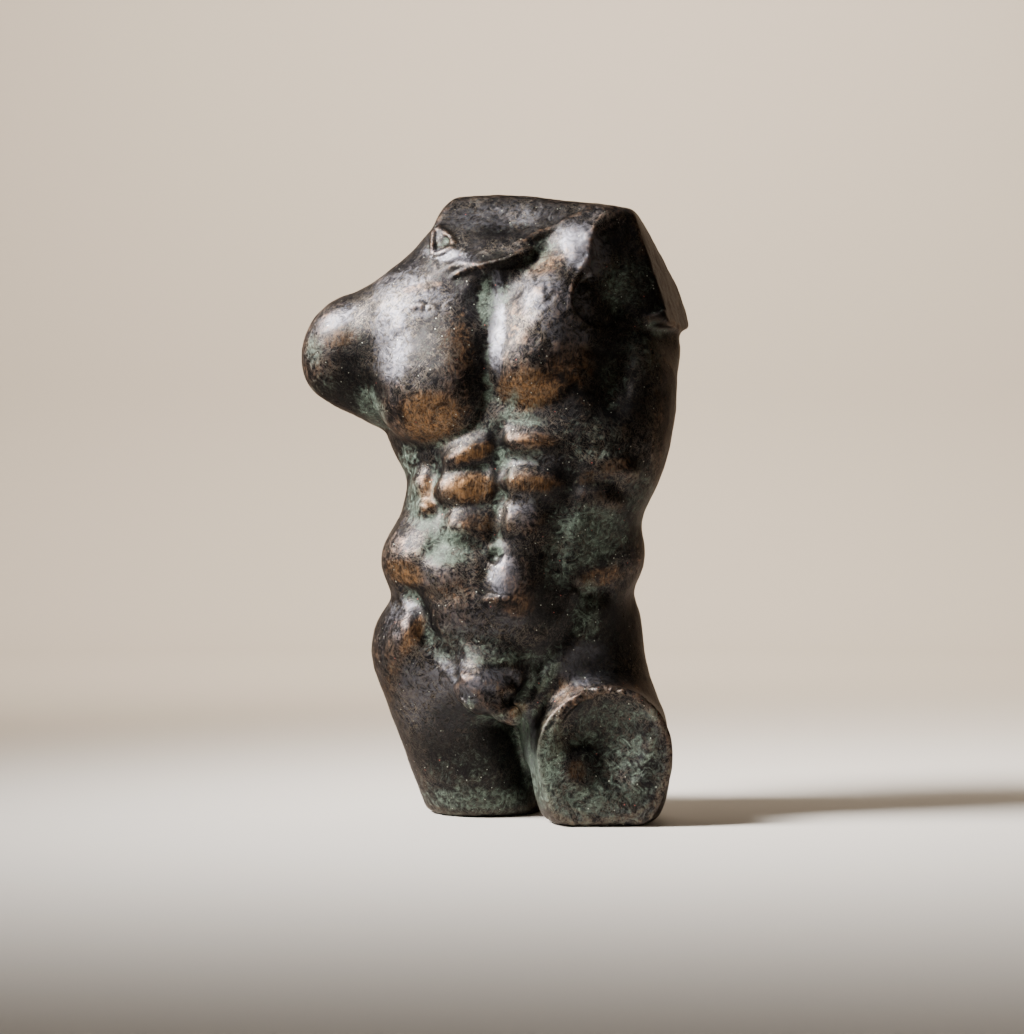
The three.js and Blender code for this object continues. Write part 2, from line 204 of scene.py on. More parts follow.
@dataclass(frozen=True)
class Lump(Mass):
    """Ellipsoid of clay, turned in degrees about x, y and z."""

    centre: Triple
    radii: Triple
    turn: Triple = (0.0, 0.0, 0.0)

    def distance(self, points: Points) -> Values:
        """Signed distance of each point from the ellipsoid.

        Args:
            points: Places in millimetres.

        Returns:
            Distances, negative inside. They are exact on the surface and close to it.
        """
        turned = np.array(Euler([math.radians(a) for a in self.turn], "XYZ").to_matrix(), np.float32)
        radii = np.array(self.radii, np.float32)
        local = (points - np.array(self.centre, np.float32)) @ turned / radii
        reach = np.sqrt(np.einsum("ij,ij->i", local, local))
        local /= radii
        slope = np.sqrt(np.einsum("ij,ij->i", local, local))
        return reach * (reach - 1) / np.maximum(slope, 1e-6)

    def within(self, points: Points, margin: float) -> Values:
        """Which points lie in a box around the ellipsoid."""
        reach = max(self.radii) + margin
        return (np.abs(points - np.array(self.centre, np.float32)) < reach).all(1)


@dataclass(frozen=True)
class Limb(Mass):
    """Round-ended limb from one ball to another."""

    start: Triple
    end: Triple
    start_radius: float
    end_radius: float

    def distance(self, points: Points) -> Values:
        """Signed distance of each point from the limb.

        Args:
            points: Places in millimetres.

        Returns:
            Distances, negative inside.
        """
        axis = np.array(self.end, np.float32) - np.array(self.start, np.float32)
        local = points - np.array(self.start, np.float32)
        along = np.clip(local @ axis / (axis @ axis), 0, 1)
        local -= along[:, None] * axis
        radius = self.start_radius + (self.end_radius - self.start_radius) * along
        return np.sqrt(np.einsum("ij,ij->i", local, local)) - radius

    def within(self, points: Points, margin: float) -> Values:
        """Which points lie in a box around the limb.

        Args:
            points: Places in millimetres.
            margin: Room left around the limb.

        Returns:
            True for each point in the box.
        """
        ends = np.array((self.start, self.end), np.float32)
        reach = max(self.start_radius, self.end_radius) + margin
        return ((points > ends.min(0) - reach) & (points < ends.max(0) + reach)).all(1)


@dataclass(frozen=True)
class Face(Mass):
    """Everything behind a flat face that looks along its normal."""

    point: Triple
    normal: Triple

    def distance(self, points: Points) -> Values:
        """Signed distance of each point from the face."""
        normal = np.array(Vector(self.normal).normalized(), np.float32)
        return (points - np.array(self.point, np.float32)) @ normal


def press_together(masses: list[Mass], blend: float) -> Mass:
    """Joins masses one after the other.

    Args:
        masses: Masses in the order that they are pressed on.
        blend: Width over which the creases are filled.

    Returns:
        The joined mass.
    """
    whole = masses[0]
    for mass in masses[1:]:
        whole = whole.join(mass, blend)
    return whole


@dataclass(frozen=True)
class Section:
    """Outline of the trunk at one height: turn is about +Z in degrees, square above 2 is boxier."""

    z: float
    x: float
    y: float
    half_width: float
    half_depth: float
    turn: float
    square: float

    def row(self) -> list[float]:
        """The sizes in one list, height first."""
        sizes = [self.x, self.y, self.half_width, self.half_depth, self.turn, self.square]
        return [self.z, *sizes]


@dataclass(frozen=True)
class Trunk(Mass):
    """Tapered, twisting trunk from the thighs to the neck."""

    sections: tuple[Section, ...] = (
        Section(60, 14, 10, 98, 72, 4, 2.2),
        Section(110, 14, 10, 112, 80, 4, 2.2),
        Section(150, 13, 8, 121, 82, 6, 2.2),
        Section(185, 13, 2, 117, 79, 8, 2.3),
        Section(215, 16, -2, 112, 76, 10, 2.3),
        Section(254, 18, -6, 112, 72, 12, 2.3),
        Section(289, 26, -8, 117, 70, 14, 2.3),
        Section(324, 37, -4, 123, 74, 16, 2.3),
        Section(360, 39, 0, 131, 80, 17, 2.3),
        Section(400, 38, 6, 136, 82, 17, 2.3),
        Section(440, 36, 9, 136, 82, 17, 2.3),
        Section(480, 24, 12, 124, 76, 16, 2.2),
        Section(515, 14, 14, 98, 66, 15, 2.1),
        Section(550, 8, 14, 72, 58, 14, 2.0),
        Section(600, 6, 14, 46, 50, 14, 2.0),
        Section(640, 6, 14, 36, 44, 14, 2.0),
    )

    def outline(self, height: Values) -> Values:
        """Trunk outline at any height, eased between the named ones.

        Args:
            height: Heights in millimetres.

        Returns:
            One row of section sizes for each height.
        """
        table = np.array([section.row() for section in self.sections], np.float32)
        last = len(table) - 1
        z = np.clip(height, table[0, 0], table[last, 0])
        below = np.clip(np.searchsorted(table[:, 0], z) - 1, 0, last - 1)
        above = below + 1
        before = np.maximum(below - 1, 0)
        after = np.minimum(above + 1, last)
        span = (table[above, 0] - table[below, 0])[:, None]
        t = (z - table[below, 0])[:, None] / span
        rise_below = (table[above] - table[before]) / (table[above, 0] - table[before, 0])[:, None]
        rise_above = (table[after] - table[below]) / (table[after, 0] - table[below, 0])[:, None]
        ease = t * t * (3 - 2 * t)
        bend = span * (rise_below * t * (1 - t) ** 2 - rise_above * t * t * (1 - t))
        return table[below] * (1 - ease) + table[above] * ease + bend

    def distance(self, points: Points) -> Values:
        """Signed distance of each point from the trunk.

        Args:
            points: Places in millimetres.

        Returns:
            Distances measured level, negative inside.
        """
        _, x, y, half_width, half_depth, turn, square = self.outline(points[:, 2]).T
        angle = np.radians(turn)
        side, back = points[:, 0] - x, points[:, 1] - y
        u = side * np.cos(angle) - back * np.sin(angle)
        v = side * np.sin(angle) + back * np.cos(angle)
        share = np.abs(u / half_width) ** square + np.abs(v / half_depth) ** square
        share = np.maximum(share, 1e-9) ** (1 / square)
        return (share - 1) * np.hypot(u, v) / np.maximum(share, 1e-6)

    def place(self, u: float, v: float, z: float) -> Triple:
        """Finds a place inside the turned trunk.

        Args:
            u: Millimetres to the figure's left.
            v: Millimetres to its back.
            z: Height.

        Returns:
            The place as x, y and z.
        """
        _, x, y, _, _, turn, _ = self.outline(np.array([z], np.float32))[0].tolist()
        angle = math.radians(turn)
        across = x + u * math.cos(angle) + v * math.sin(angle)
        back = y - u * math.sin(angle) + v * math.cos(angle)
        return (across, back, z)


@dataclass(frozen=True)
class Breaks:
    """Places where the figure is broken off, hollowed or cut level.

    Broken faces are rough: raw ones more than worn ones.
    """

    shoulder_floor: Face = Face((105, -66, 510), (-0.34, 0.93, -0.11))
    shoulder_patch: Lump = Lump((140, -60, 532), (50, 90, 54))
    shoulder_corner: Lump = Lump((100, -60, 491), (28, 90, 25), (0, -10, 0))
    neck_front: Face = Face((0, -58, 530), (-0.26, -0.72, 0.64))
    neck_scoop: Lump = Lump((0, -62, 584), (50, 42, 34))
    neck_top: Face = Face((10, 0, 600), (0.14, -0.05, 1))
    shoulder_side: Face = Face((146, -50, 531), (0.905, -0.26, 0.3))
    shoulder_top: Face = Face((134, 6, 590), (0.86, -0.12, 0.5))
    arm_end: Face = Face((-150, 45, 391), (-0.46, 0.05, -0.88))
    thigh_scoop: Lump = Lump((107, -106, 70), (50, 30, 56))
    thigh_pit: Lump = Lump((94, -106, 90), (36, 30, 36))
    armpit_hollow: Lump = Lump((117, -100, 430), (27, 33, 50), (0, 8, 0))
    collar_hollow: Lump = Lump((-8, -79, 501), (32, 26, 21), (0, -10, -10))
    neck_slope: Face = Face((-30, 0, 600), (-0.08, 0, 1))
    standing_plane: Face = Face((0, 0, 0), (0, 0, -1))
    worn: float = 0.3
    raw: float = 0.7

    def remnant(self) -> Mass:
        """Broken remnant below the belly, with a notch at each end.

        Returns:
            The joined mass.
        """
        root = Lump((-9, -79, 129), (31, 18, 19), (0, 12, 0))
        stub = Lump((-2, -84, 112), (25, 15, 12), (0, 18, 0))
        mass = press_together([root, stub, Lump((19, -86, 104), (9, 10, 9))], 8)
        mass = mass.cut_away(Lump((18, -98, 120), (8, 10, 9)), 4)
        return mass.cut_away(Lump((-34, -98, 118), (8, 10, 7)), 4)

    def shoulder(self) -> Mass:
        """The broken left shoulder in front, sunk to a flat, slanting floor."""
        return self.shoulder_patch.join(self.shoulder_corner, 4).keep_inside(self.shoulder_floor, 2)

    def cut(self, body: Mass) -> Mass:
        """Joins the remnant and cuts every break.

        Args:
            body: The figure with its muscles.

        Returns:
            The broken figure.
        """
        body = body.join(self.remnant(), 6)
        body = body.cut_away(self.armpit_hollow, 18)
        body = body.cut_away(self.shoulder(), 3)
        body = body.cut_away(self.collar_hollow, 7)
        body = body.keep_inside(self.neck_front, 4)
        body = body.cut_away(self.neck_scoop, 8)
        body = body.keep_inside(self.neck_top, 7)
        body = body.keep_inside(self.neck_slope, 8)
        body = body.keep_inside(self.shoulder_side, 3)
        body = body.keep_inside(self.shoulder_top, 6)
        return body.keep_inside(self.standing_plane, 10)

    def faces(self) -> tuple[tuple[Mass, float], ...]:
        """Lists the broken faces.

        Returns:
            Each face with the share of the full roughness that it has.
        """
        worn = (self.neck_front, self.neck_scoop, self.neck_top, self.shoulder_side)
        raw = (self.shoulder_floor, self.thigh_scoop, self.thigh_pit, self.arm_end)
        return (*((face, self.worn) for face in worn), *((face, self.raw) for face in raw))


@dataclass(frozen=True)
class Figure:
    """The great masses of the figure, from the trunk to the chest muscles."""

    breaks: Breaks
    trunk: Trunk = field(default_factory=Trunk)
    crotch: float = 96.0
    crotch_blend: float = 50.0

    def waist_and_hips(self) -> Mass:
        """Trunk with the broad back muscles, the waist, the hips and the belly.

        Returns:
            The joined mass.
        """
        body = self.trunk.keep_inside(Face((0, 0, self.crotch), (0, 0, -1)), self.crotch_blend)
        # broad back muscles, then the flanks over the hips, the belly and the pubic mound
        for lump, blend in (
            (Lump((113, 24, 410), (53, 58, 92)), 34),
            (Lump((139, 18, 454), (40, 44, 34)), 20),
            (Lump((-58, 28, 392), (48, 50, 62)), 24),
            (Lump((-58, -12, 247), (50, 50, 42)), 20),
            (Lump((99, -12, 252), (45, 50, 42)), 20),
            (Lump((4, -36, 205), (72, 52, 52)), 12),
            (Lump((-4, -54, 146), (40, 34, 28)), 16),
        ):
            body = body.join(lump, blend)
        return body

    def buttocks(self) -> Mass:
        """Both buttocks, placed in the turned trunk.

        Returns:
            The joined mass.
        """
        place = self.trunk.place
        right = Lump(place(-50, 40, 150), (56, 58, 56))
        left = Lump(place(52, 42, 156), (56, 58, 60))
        right = right.join(Lump(place(-62, 20, 176), (48, 60, 50)), 20)
        left = left.join(Lump(place(66, 24, 180), (60, 54, 64)), 20)
        return right.join(left, 6)

    def neck(self) -> Mass:
        """Stump of the neck, with the lip of its broken front.

        Returns:
            The joined mass.
        """
        stump = Limb((4, -10, 520), (2, -8, 600), 47, 58)
        stump = stump.keep_inside(Face((-46, 0, 584), (-0.7, 0, 0.7)), 8)
        return stump.join(Lump((-6, -34, 531), (50, 25, 13), (0, -8, -22)), 8)

    def left_shoulder(self) -> Mass:
        """Raised left shoulder, flat where the arm is gone.

        Returns:
            The joined mass.
        """
        collar = Limb((20, 4, 560), (104, -12, 542), 41, 47)
        ball = Limb((104, -8, 532), (152, -2, 491), 58, 56)
        mass = press_together([collar, ball, Lump((150, 6, 494), (56, 58, 44))], 24)
        return mass.keep_inside(Face((140, -40, 468), (0.04, 0.02, -1)), 8)

    def right_arm(self) -> Mass:
        """Stump of the right arm, drawn back and cut off square.

        Returns:
            The joined mass.
        """
        ball = Lump((-134, 38, 446), (51, 46, 57), (0, -14, 0))
        shaft = Limb((-84, 20, 471), (-140, 38, 440), 46, 42)
        yoke = Limb((-50, 14, 512), (-130, 34, 462), 30, 34)
        under = Lump((-110, 30, 410), (28, 36, 36))
        stump = press_together([ball, under, shaft, yoke], 22)
        return stump.keep_inside(self.breaks.arm_end, 12)

    def left_thigh(self) -> Mass:
        """Left thigh, stepped forward, with an upright oval break that is scooped out.

        Returns:
            The joined mass.
        """
        root = Limb((71, 14, 172), (95, -14, 84), 68, 65)
        shaft = Limb((96, 0, 76), (108, -140, 64), 66, 61)
        knee = Lump((106, -40, 36), (58, 76, 58))
        inner = Lump((76, -40, 30), (34, 54, 42))
        mass = press_together([root, shaft, knee, inner], 18)
        mass = mass.keep_inside(Face((104, -87, 66), (0.02, -1, -0.05)), 3)
        mass = mass.cut_away(self.breaks.thigh_scoop, 3)
        mass = mass.cut_away(self.breaks.thigh_pit, 26)
        return mass.join(Lump((79, -72, 52), (12, 10, 16), (0, 20, 0)), 16)

    def right_chest(self) -> Mass:
        """Full right breast muscle.

        Returns:
            The joined mass.
        """
        fullest = Lump((-64, -25, 408), (52, 38, 51), (0, 0, -26))
        inner = Lump((-34, -42, 416), (30, 34, 52), (0, 0, -10))
        upper = Lump((-60, -10, 444), (54, 44, 72), (0, 0, -24))
        return press_together([fullest, inner, upper], 22)

    def left_chest(self) -> Mass:
        """Left breast muscle, drawn up towards the raised shoulder.

        Returns:
            The joined mass.
        """
        fullest = Lump((36, -52, 428), (42, 40, 45))
        outer = Lump((54, -50, 440), (36, 40, 44), (0, 0, 8))
        upper = Lump((56, -48, 468), (42, 40, 50), (0, 24, 0))
        band = Limb((60, -48, 484), (96, -36, 546), 38, 28)
        return press_together([fullest, outer, upper, band], 20)

    def masses(self) -> Mass:
        """Joins all the great masses.

        Returns:
            The whole figure before its muscles and breaks.
        """
        right_slope = Limb((-18, 18, 555), (-94, 24, 478), 35, 41)
        right_thigh = Limb((-54, 12, 160), (-4, 43, -10), 65, 55)
        between_thighs = Limb((22, 20, 120), (37, 26, 46), 22, 15)
        body = self.waist_and_hips()
        for mass, blend in (
            (self.buttocks(), 18),
            (right_slope, 20),
            (self.neck(), 14),
            (self.left_shoulder(), 16),
            (self.right_arm(), 12),
            (right_thigh, 10),
            (self.left_thigh(), 10),
            (between_thighs, 8),
            (self.right_chest(), Widening(380, 470, 8, 34)),
            (self.left_chest(), Widening(400, 500, 6, 16)),
        ):
            body = body.join(mass, blend)
        return body


def sight(mass: Mass, spots: list[Spot], side: Side) -> Points:
    """Finds where straight looks from the front or the back meet a surface.

    Args:
        mass: The mass looked at.
        spots: Places as (x, z).
        side: Side that the looks come from.

    Returns:
        One surface point for each place.
    """
    half_depth = 130.0
    step = 2.0
    depths = side.value * (half_depth - np.arange(0, 2 * half_depth + step, step))
    rays = np.array([(x, y, z) for x, z in spots for y in depths], np.float32)
    distances = mass.distance(rays).reshape(len(spots), -1)
    met = np.argmax(distances < 0, axis=1)
    rows = np.arange(len(spots))
    inside, outside = distances[rows, met], distances[rows, met - 1]
    y = depths[met] + side.value * step * inside / (inside - outside)
    return np.array([(x, y[i], z) for i, (x, z) in enumerate(spots)], np.float32)


@dataclass(frozen=True)
class Boss:
    """Muscle laid on the body as a half-sunk lump: rise is how far it stands out."""

    at: Spot
    radii: Triple
    rise: float
    tilt: float
    blend: float
    side: Side = Side.FRONT


@dataclass(frozen=True)
class Stroke:
    """Ridge, or a groove of negative height, drawn along (x, z) places on the body."""

    line: tuple[Spot, ...]
    width: float
    height: float
    side: Side = Side.FRONT
    points: int = 20
    fade: float = 5.0

    def path(self, body: Mass) -> Points:
        """Draws a smooth curve through the places on the surface.

        Args:
            body: The mass that the stroke lies on.

        Returns:
            Points along the curve.
        """
        knots = sight(body, list(self.line), self.side)
        knots = np.vstack((2 * knots[0] - knots[1], knots, 2 * knots[-1] - knots[-2]))
        place = np.linspace(0, len(self.line) - 1, self.points + 1)
        start = np.minimum(place.astype(int), len(self.line) - 2)
        t = (place - start)[:, None]
        a, b, c, d = (knots[start + shift] for shift in range(4))
        bend = (2 * a - 5 * b + 4 * c - d) * t**2 + (3 * b - a - 3 * c + d) * t**3
        return (0.5 * (2 * b + (c - a) * t + bend)).astype(np.float32)


@dataclass(frozen=True)
class Hollow:
    """Round dent of a depth, or a bump of a negative one, at an (x, z) place."""

    at: Spot
    radius: float
    depth: float
    side: Side = Side.FRONT


@dataclass(frozen=True)
class Relief:
    """Ridges, grooves and dents that are added to a body's distance."""

    strokes: tuple[Stroke, ...]
    hollows: tuple[Hollow, ...]

    def carve(self, body: Mass) -> "Carved":
        """Lays this relief on a body.

        Args:
            body: The mass to be carved.

        Returns:
            The carved mass.
        """
        paths = [(stroke, stroke.path(body)) for stroke in self.strokes]
        centres = [(hollow, sight(body, [hollow.at], hollow.side)[0]) for hollow in self.hollows]
        return Carved(body, paths, centres)


@dataclass(frozen=True)
class Carved(Mass):
    """A body with strokes and hollows on it."""

    body: Mass
    paths: list[tuple[Stroke, Points]]
    centres: list[tuple[Hollow, Points]]

    def distance(self, points: Points) -> Values:
        """Signed distance of each point from the carved surface.

        Args:
            points: Places in millimetres.

        Returns:
            Distances, negative inside.
        """
        whole = self.body.distance(points)
        for stroke, path in self.paths:
            low, high = path.min(0) - stroke.width, path.max(0) + stroke.width
            near = ((points > low) & (points < high)).all(1)
            if near.any():
                whole[near] -= self.stroke_height(stroke, path, points[near])
        for hollow, centre in self.centres:
            away = points - centre
            share = 1 - np.einsum("ij,ij->i", away, away) / hollow.radius**2
            whole += hollow.depth * np.maximum(share, 0) ** 2
        return whole

    @staticmethod
    def stroke_height(stroke: Stroke, path: Points, points: Points) -> Values:
        """Height that one stroke adds.

        Args:
            stroke: The stroke.
            path: Its curve on the surface.
            points: Points near it.

        Returns:
            Heights, which fade out at both ends and to both sides.
        """
        closest = np.full(len(points), np.inf, np.float32)
        along = np.zeros(len(points), np.float32)
        for index in range(len(path) - 1):
            axis = path[index + 1] - path[index]
            local = points - path[index]
            t = np.clip(local @ axis / max(float(axis @ axis), 1e-9), 0, 1)
            local -= t[:, None] * axis
            squared = np.einsum("ij,ij->i", local, local)
            nearer = squared < closest
            closest[nearer] = squared[nearer]
            along[nearer] = (index + t[nearer]) / (len(path) - 1)
        profile = np.maximum(1 - closest / stroke.width**2, 0) ** 2
        return stroke.height * profile * smooth_step(np.minimum(along, 1 - along) * stroke.fade)


@dataclass(frozen=True)
class Muscles:
    """Muscles, lines and hollows that the solid has too."""

    bosses: tuple[Boss, ...] = (
        # stomach muscles from the top down, right ones first, then the swellings below the navel
        Boss((-22, 348), (27, 18, 13), 8, -24, 13),
        Boss((-24, 314), (33, 20, 21), 8.5, -4, 13),
        Boss((-20, 277), (29, 18, 19), 6, 0, 14),
        Boss((37, 358), (30, 18, 12), 6.5, 2, 13),
        Boss((36, 320), (34, 20, 19), 7.5, 0, 13),
        Boss((28, 281), (25, 18, 24), 6.5, 0, 14),
        Boss((19, 228), (27, 20, 32), 8, 6, 18),
        Boss((-30, 236), (32, 18, 22), 5, 0, 14),
        # ribs at both flanks and the right hip
        Boss((-64, 316), (14, 15, 16), 5, -12, 10),
        Boss((-60, 296), (14, 14, 10), 4, 16, 9),
        Boss((107, 334), (26, 16, 12), 5, 14, 12),
        Boss((96, 306), (22, 14, 11), 4, 16, 12),
        Boss((-79, 179), (13, 15, 26), 4, 32, 16),
        # shoulder blades and the muscles of the back
        Boss((-34, 452), (44, 26, 52), 9, 12, 18, Side.BACK),
        Boss((112, 448), (42, 26, 52), 9, -10, 18, Side.BACK),
        Boss((-46, 425), (26, 20, 22), 5, 0, 12, Side.BACK),
        Boss((120, 420), (26, 20, 22), 5, 0, 12, Side.BACK),
        Boss((34, 515), (46, 26, 52), 7, 0, 20, Side.BACK),
        Boss((54, 440), (22, 18, 56), 5, -8, 12, Side.BACK),
        Boss((-38, 366), (40, 26, 48), 6, 10, 18, Side.BACK),
        Boss((124, 366), (34, 26, 48), 6, -10, 18, Side.BACK),
    )
    lines: tuple[Stroke, ...] = (
        # middle line of the stomach, its two sides, both groins and the folds beside the remnant
        Stroke(((2, 378), (6, 350), (6, 310), (2, 275), (1, 258)), 13, -4),
        Stroke(((1, 258), (-3, 245), (-2, 222), (-2, 212)), 16, -2.2),
        Stroke(((-46, 350), (-54, 330), (-52, 300), (-50, 270), (-62, 240)), 15, -2),
        Stroke(((68, 350), (72, 322), (64, 295), (58, 262), (62, 235)), 17, -2.5),
        Stroke(
            ((-92, 220), (-86, 218), (-76, 212), (-68, 196), (-58, 172), (-40, 156), (-14, 152)),
            15,
            -5,
        ),
        Stroke(
            ((116, 221), (104, 218), (86, 212), (76, 192), (60, 170), (40, 154), (14, 152)),
            15,
            -5,
        ),
        Stroke(((-46, 160), (-38, 142), (-30, 126), (-8, 104), (18, 90)), 11, -5),
        Stroke(((46, 160), (38, 142), (30, 122), (22, 96)), 12, -6),
        # spine, the ridges beside it and the cleft below
        Stroke(
            ((26, 560), (42, 500), (56, 440), (62, 380), (58, 320), (44, 270), (32, 230), (26, 200)),
            20,
            -8,
            Side.BACK,
        ),
        Stroke(((34, 350), (30, 310), (20, 262), (12, 226)), 24, 6, Side.BACK),
        Stroke(((86, 350), (80, 310), (66, 262), (50, 226)), 24, 6, Side.BACK),
        Stroke(((26, 196), (22, 170), (20, 140), (20, 110), (22, 84)), 13, -9, Side.BACK),
    )
    # navel and the dimples over the buttocks
    hollows: tuple[Hollow, ...] = (
        Hollow((1, 252), 10, 6),
        Hollow((2, 212), 14, 4, Side.BACK),
        Hollow((52, 212), 14, 4, Side.BACK),
    )

    def add_bosses(self, masses: Mass) -> Mass:
        """Lays the muscles on the great masses.

        Args:
            masses: The great masses, on which each muscle finds its depth.

        Returns:
            The figure with its muscles.
        """
        body = masses
        for boss in self.bosses:
            x, y, z = sight(masses, [boss.at], boss.side)[0].tolist()
            centre = (x, y - boss.side.value * (boss.radii[1] - boss.rise), z)
            body = body.join(Lump(centre, boss.radii, (0, boss.tilt, 0)), boss.blend)
        return body


@dataclass(frozen=True)
class FineRelief:
    """Small forms that only the cast skin has."""

    strokes: tuple[Stroke, ...] = (
        # worn knob over the right breast
        Stroke(((-80, 484), (-72, 488), (-64, 486)), 6, 2.0, fade=8),
        Stroke(((-64, 484), (-58, 487), (-54, 484)), 4, 1.2, fade=8),
        # crisp lip of the broken neck with the groove under it, and the collar line
        Stroke(((-46, 511), (-30, 519), (-8, 525), (12, 530), (30, 541)), 4, 1.4),
        Stroke(((-56, 526), (-44, 531), (-26, 540)), 8, -1.2),
        Stroke(((16, 543), (46, 556), (76, 571), (98, 580)), 6, 1.6),
        # rim of the three-cornered chip beside the neck
        Stroke(((-56, 568), (-59, 553), (-58, 537)), 5, 2.6, fade=12),
        Stroke(((-58, 537), (-48, 540), (-37, 546)), 5, 2.4, fade=12),
        Stroke(((-37, 546), (-44, 557), (-56, 568)), 5, 2.2, fade=12),
        # lit edge round the broken shoulder
        Stroke(((96, 561), (91, 534), (77, 510), (71, 482), (80, 465)), 5, 1.4),
        # creases between the stomach muscles
        Stroke(((-46, 330), (-22, 333), (2, 334)), 9, -1.0),
        Stroke(((10, 341), (36, 340), (62, 336)), 8, -0.9),
        Stroke(((-48, 296), (-22, 298), (0, 297)), 9, -0.9),
        Stroke(((10, 301), (32, 301), (56, 299)), 9, -0.6),
        Stroke(((-46, 258), (-24, 258), (-4, 262)), 10, -1.0),
        Stroke(((-6, 212), (-8, 228), (-3, 246)), 9, -1.1),
        # ribs on both flanks
        Stroke(((-78, 306), (-64, 304), (-52, 309)), 7, -1.0),
        Stroke(((82, 316), (104, 320), (128, 330)), 9, -1.2),
        # ridge over the right hip and the fold at the left one
        Stroke(((-88, 193), (-81, 179), (-69, 165)), 9, 1.3),
        Stroke(((74, 228), (84, 218), (94, 214)), 7, -3.6),
        # edges and folds of the broken remnant
        Stroke(((-38, 126), (-26, 114), (-4, 104), (18, 97)), 4, 1.4),
        Stroke(((-36, 140), (-16, 134), (6, 128)), 7, -1.0),
        # raised rim of the broken thigh
        Stroke(((52, 60), (56, 90), (74, 116), (106, 129), (138, 118), (157, 92), (162, 64)), 6, 2.6),
        Stroke(((52, 60), (58, 34), (76, 16), (106, 8), (140, 18), (156, 40), (162, 64)), 6, 1.2),
    )
    hollows: tuple[Hollow, ...] = (
        Hollow((-50, 550), 12, 3.4),
        Hollow((-47, 552), 7, 3.0),
        Hollow((19, 119), 7, 4.0),
        Hollow((1, 251), 6, 2.0),
    )


@dataclass(frozen=True)
class Touch:
    """Soft oval of patina, of painted shade or of painted highlight at an (x, z) place of the front,
    tilted in degrees.
    """

    at: Spot
    radii: Spot
    strength: float
    tilt: float = 0.0

    def amount(self, points: Points) -> Values:
        """Strength of the touch at each point, fading out to its edge.

        Args:
            points: Places in the row frame, in millimetres.

        Returns:
            Strengths from 0 up.
        """
        angle = math.radians(self.tilt)
        x, z = points[:, 0] - self.at[0], points[:, 2] - self.at[1]
        u = (x * math.cos(angle) + z * math.sin(angle)) / self.radii[0]
        v = (-x * math.sin(angle) + z * math.cos(angle)) / self.radii[1]
        return self.strength * smooth_step(1.5 - np.hypot(u, v))


class PatinaAndPaintedLight(Enum):
    """Finishes that lie over the dark ground, with the painted shade and the painted highlight, named as
    their mesh attributes.
    """

    PAINTED_SHADE = "painted_shade"
    RUBBED = "rubbed"
    VERDIGRIS = "verdigris"
    PAINTED_HIGHLIGHT = "painted_highlight"


@dataclass(frozen=True)
class Weathering:
    """How a finish gathers by itself, and how the painted shade and painted highlight follow the relief:
    shares for wide and for fine relief, and for the foot.

    Each share comes with the rise in millimetres at which it is full, which is negative in hollows.
    """

    wide: float
    wide_full: float
    fine: float = 0.0
    fine_full: float = 1.0
    foot: float = 0.0

    def amount(self, wide_rise: Values, fine_rise: Values, lowness: Values) -> Values:
        """Strength of the finish at each point.

        Args:
            wide_rise: Height over the wide surroundings.
            fine_rise: Height over the close surroundings.
            lowness: 1 on the ground, 0 above the foot.

        Returns:
            Strengths from 0 up.
        """
        wide = self.wide * smooth_step(wide_rise / self.wide_full)
        return wide + self.fine * smooth_step(fine_rise / self.fine_full) + self.foot * lowness


WEATHERING_AND_PAINTED_LIGHT = {
    # painted shade in the hollows
    PatinaAndPaintedLight.PAINTED_SHADE: Weathering(0.45, -5, 0.3, -0.8),
    PatinaAndPaintedLight.RUBBED: Weathering(0.16, 6, 0.34, 0.6),
    PatinaAndPaintedLight.VERDIGRIS: Weathering(0.35, -5, 0.35, -0.8, foot=0.45),
    # painted highlight on the raised forms
    PatinaAndPaintedLight.PAINTED_HIGHLIGHT: Weathering(0.4, 6),
}

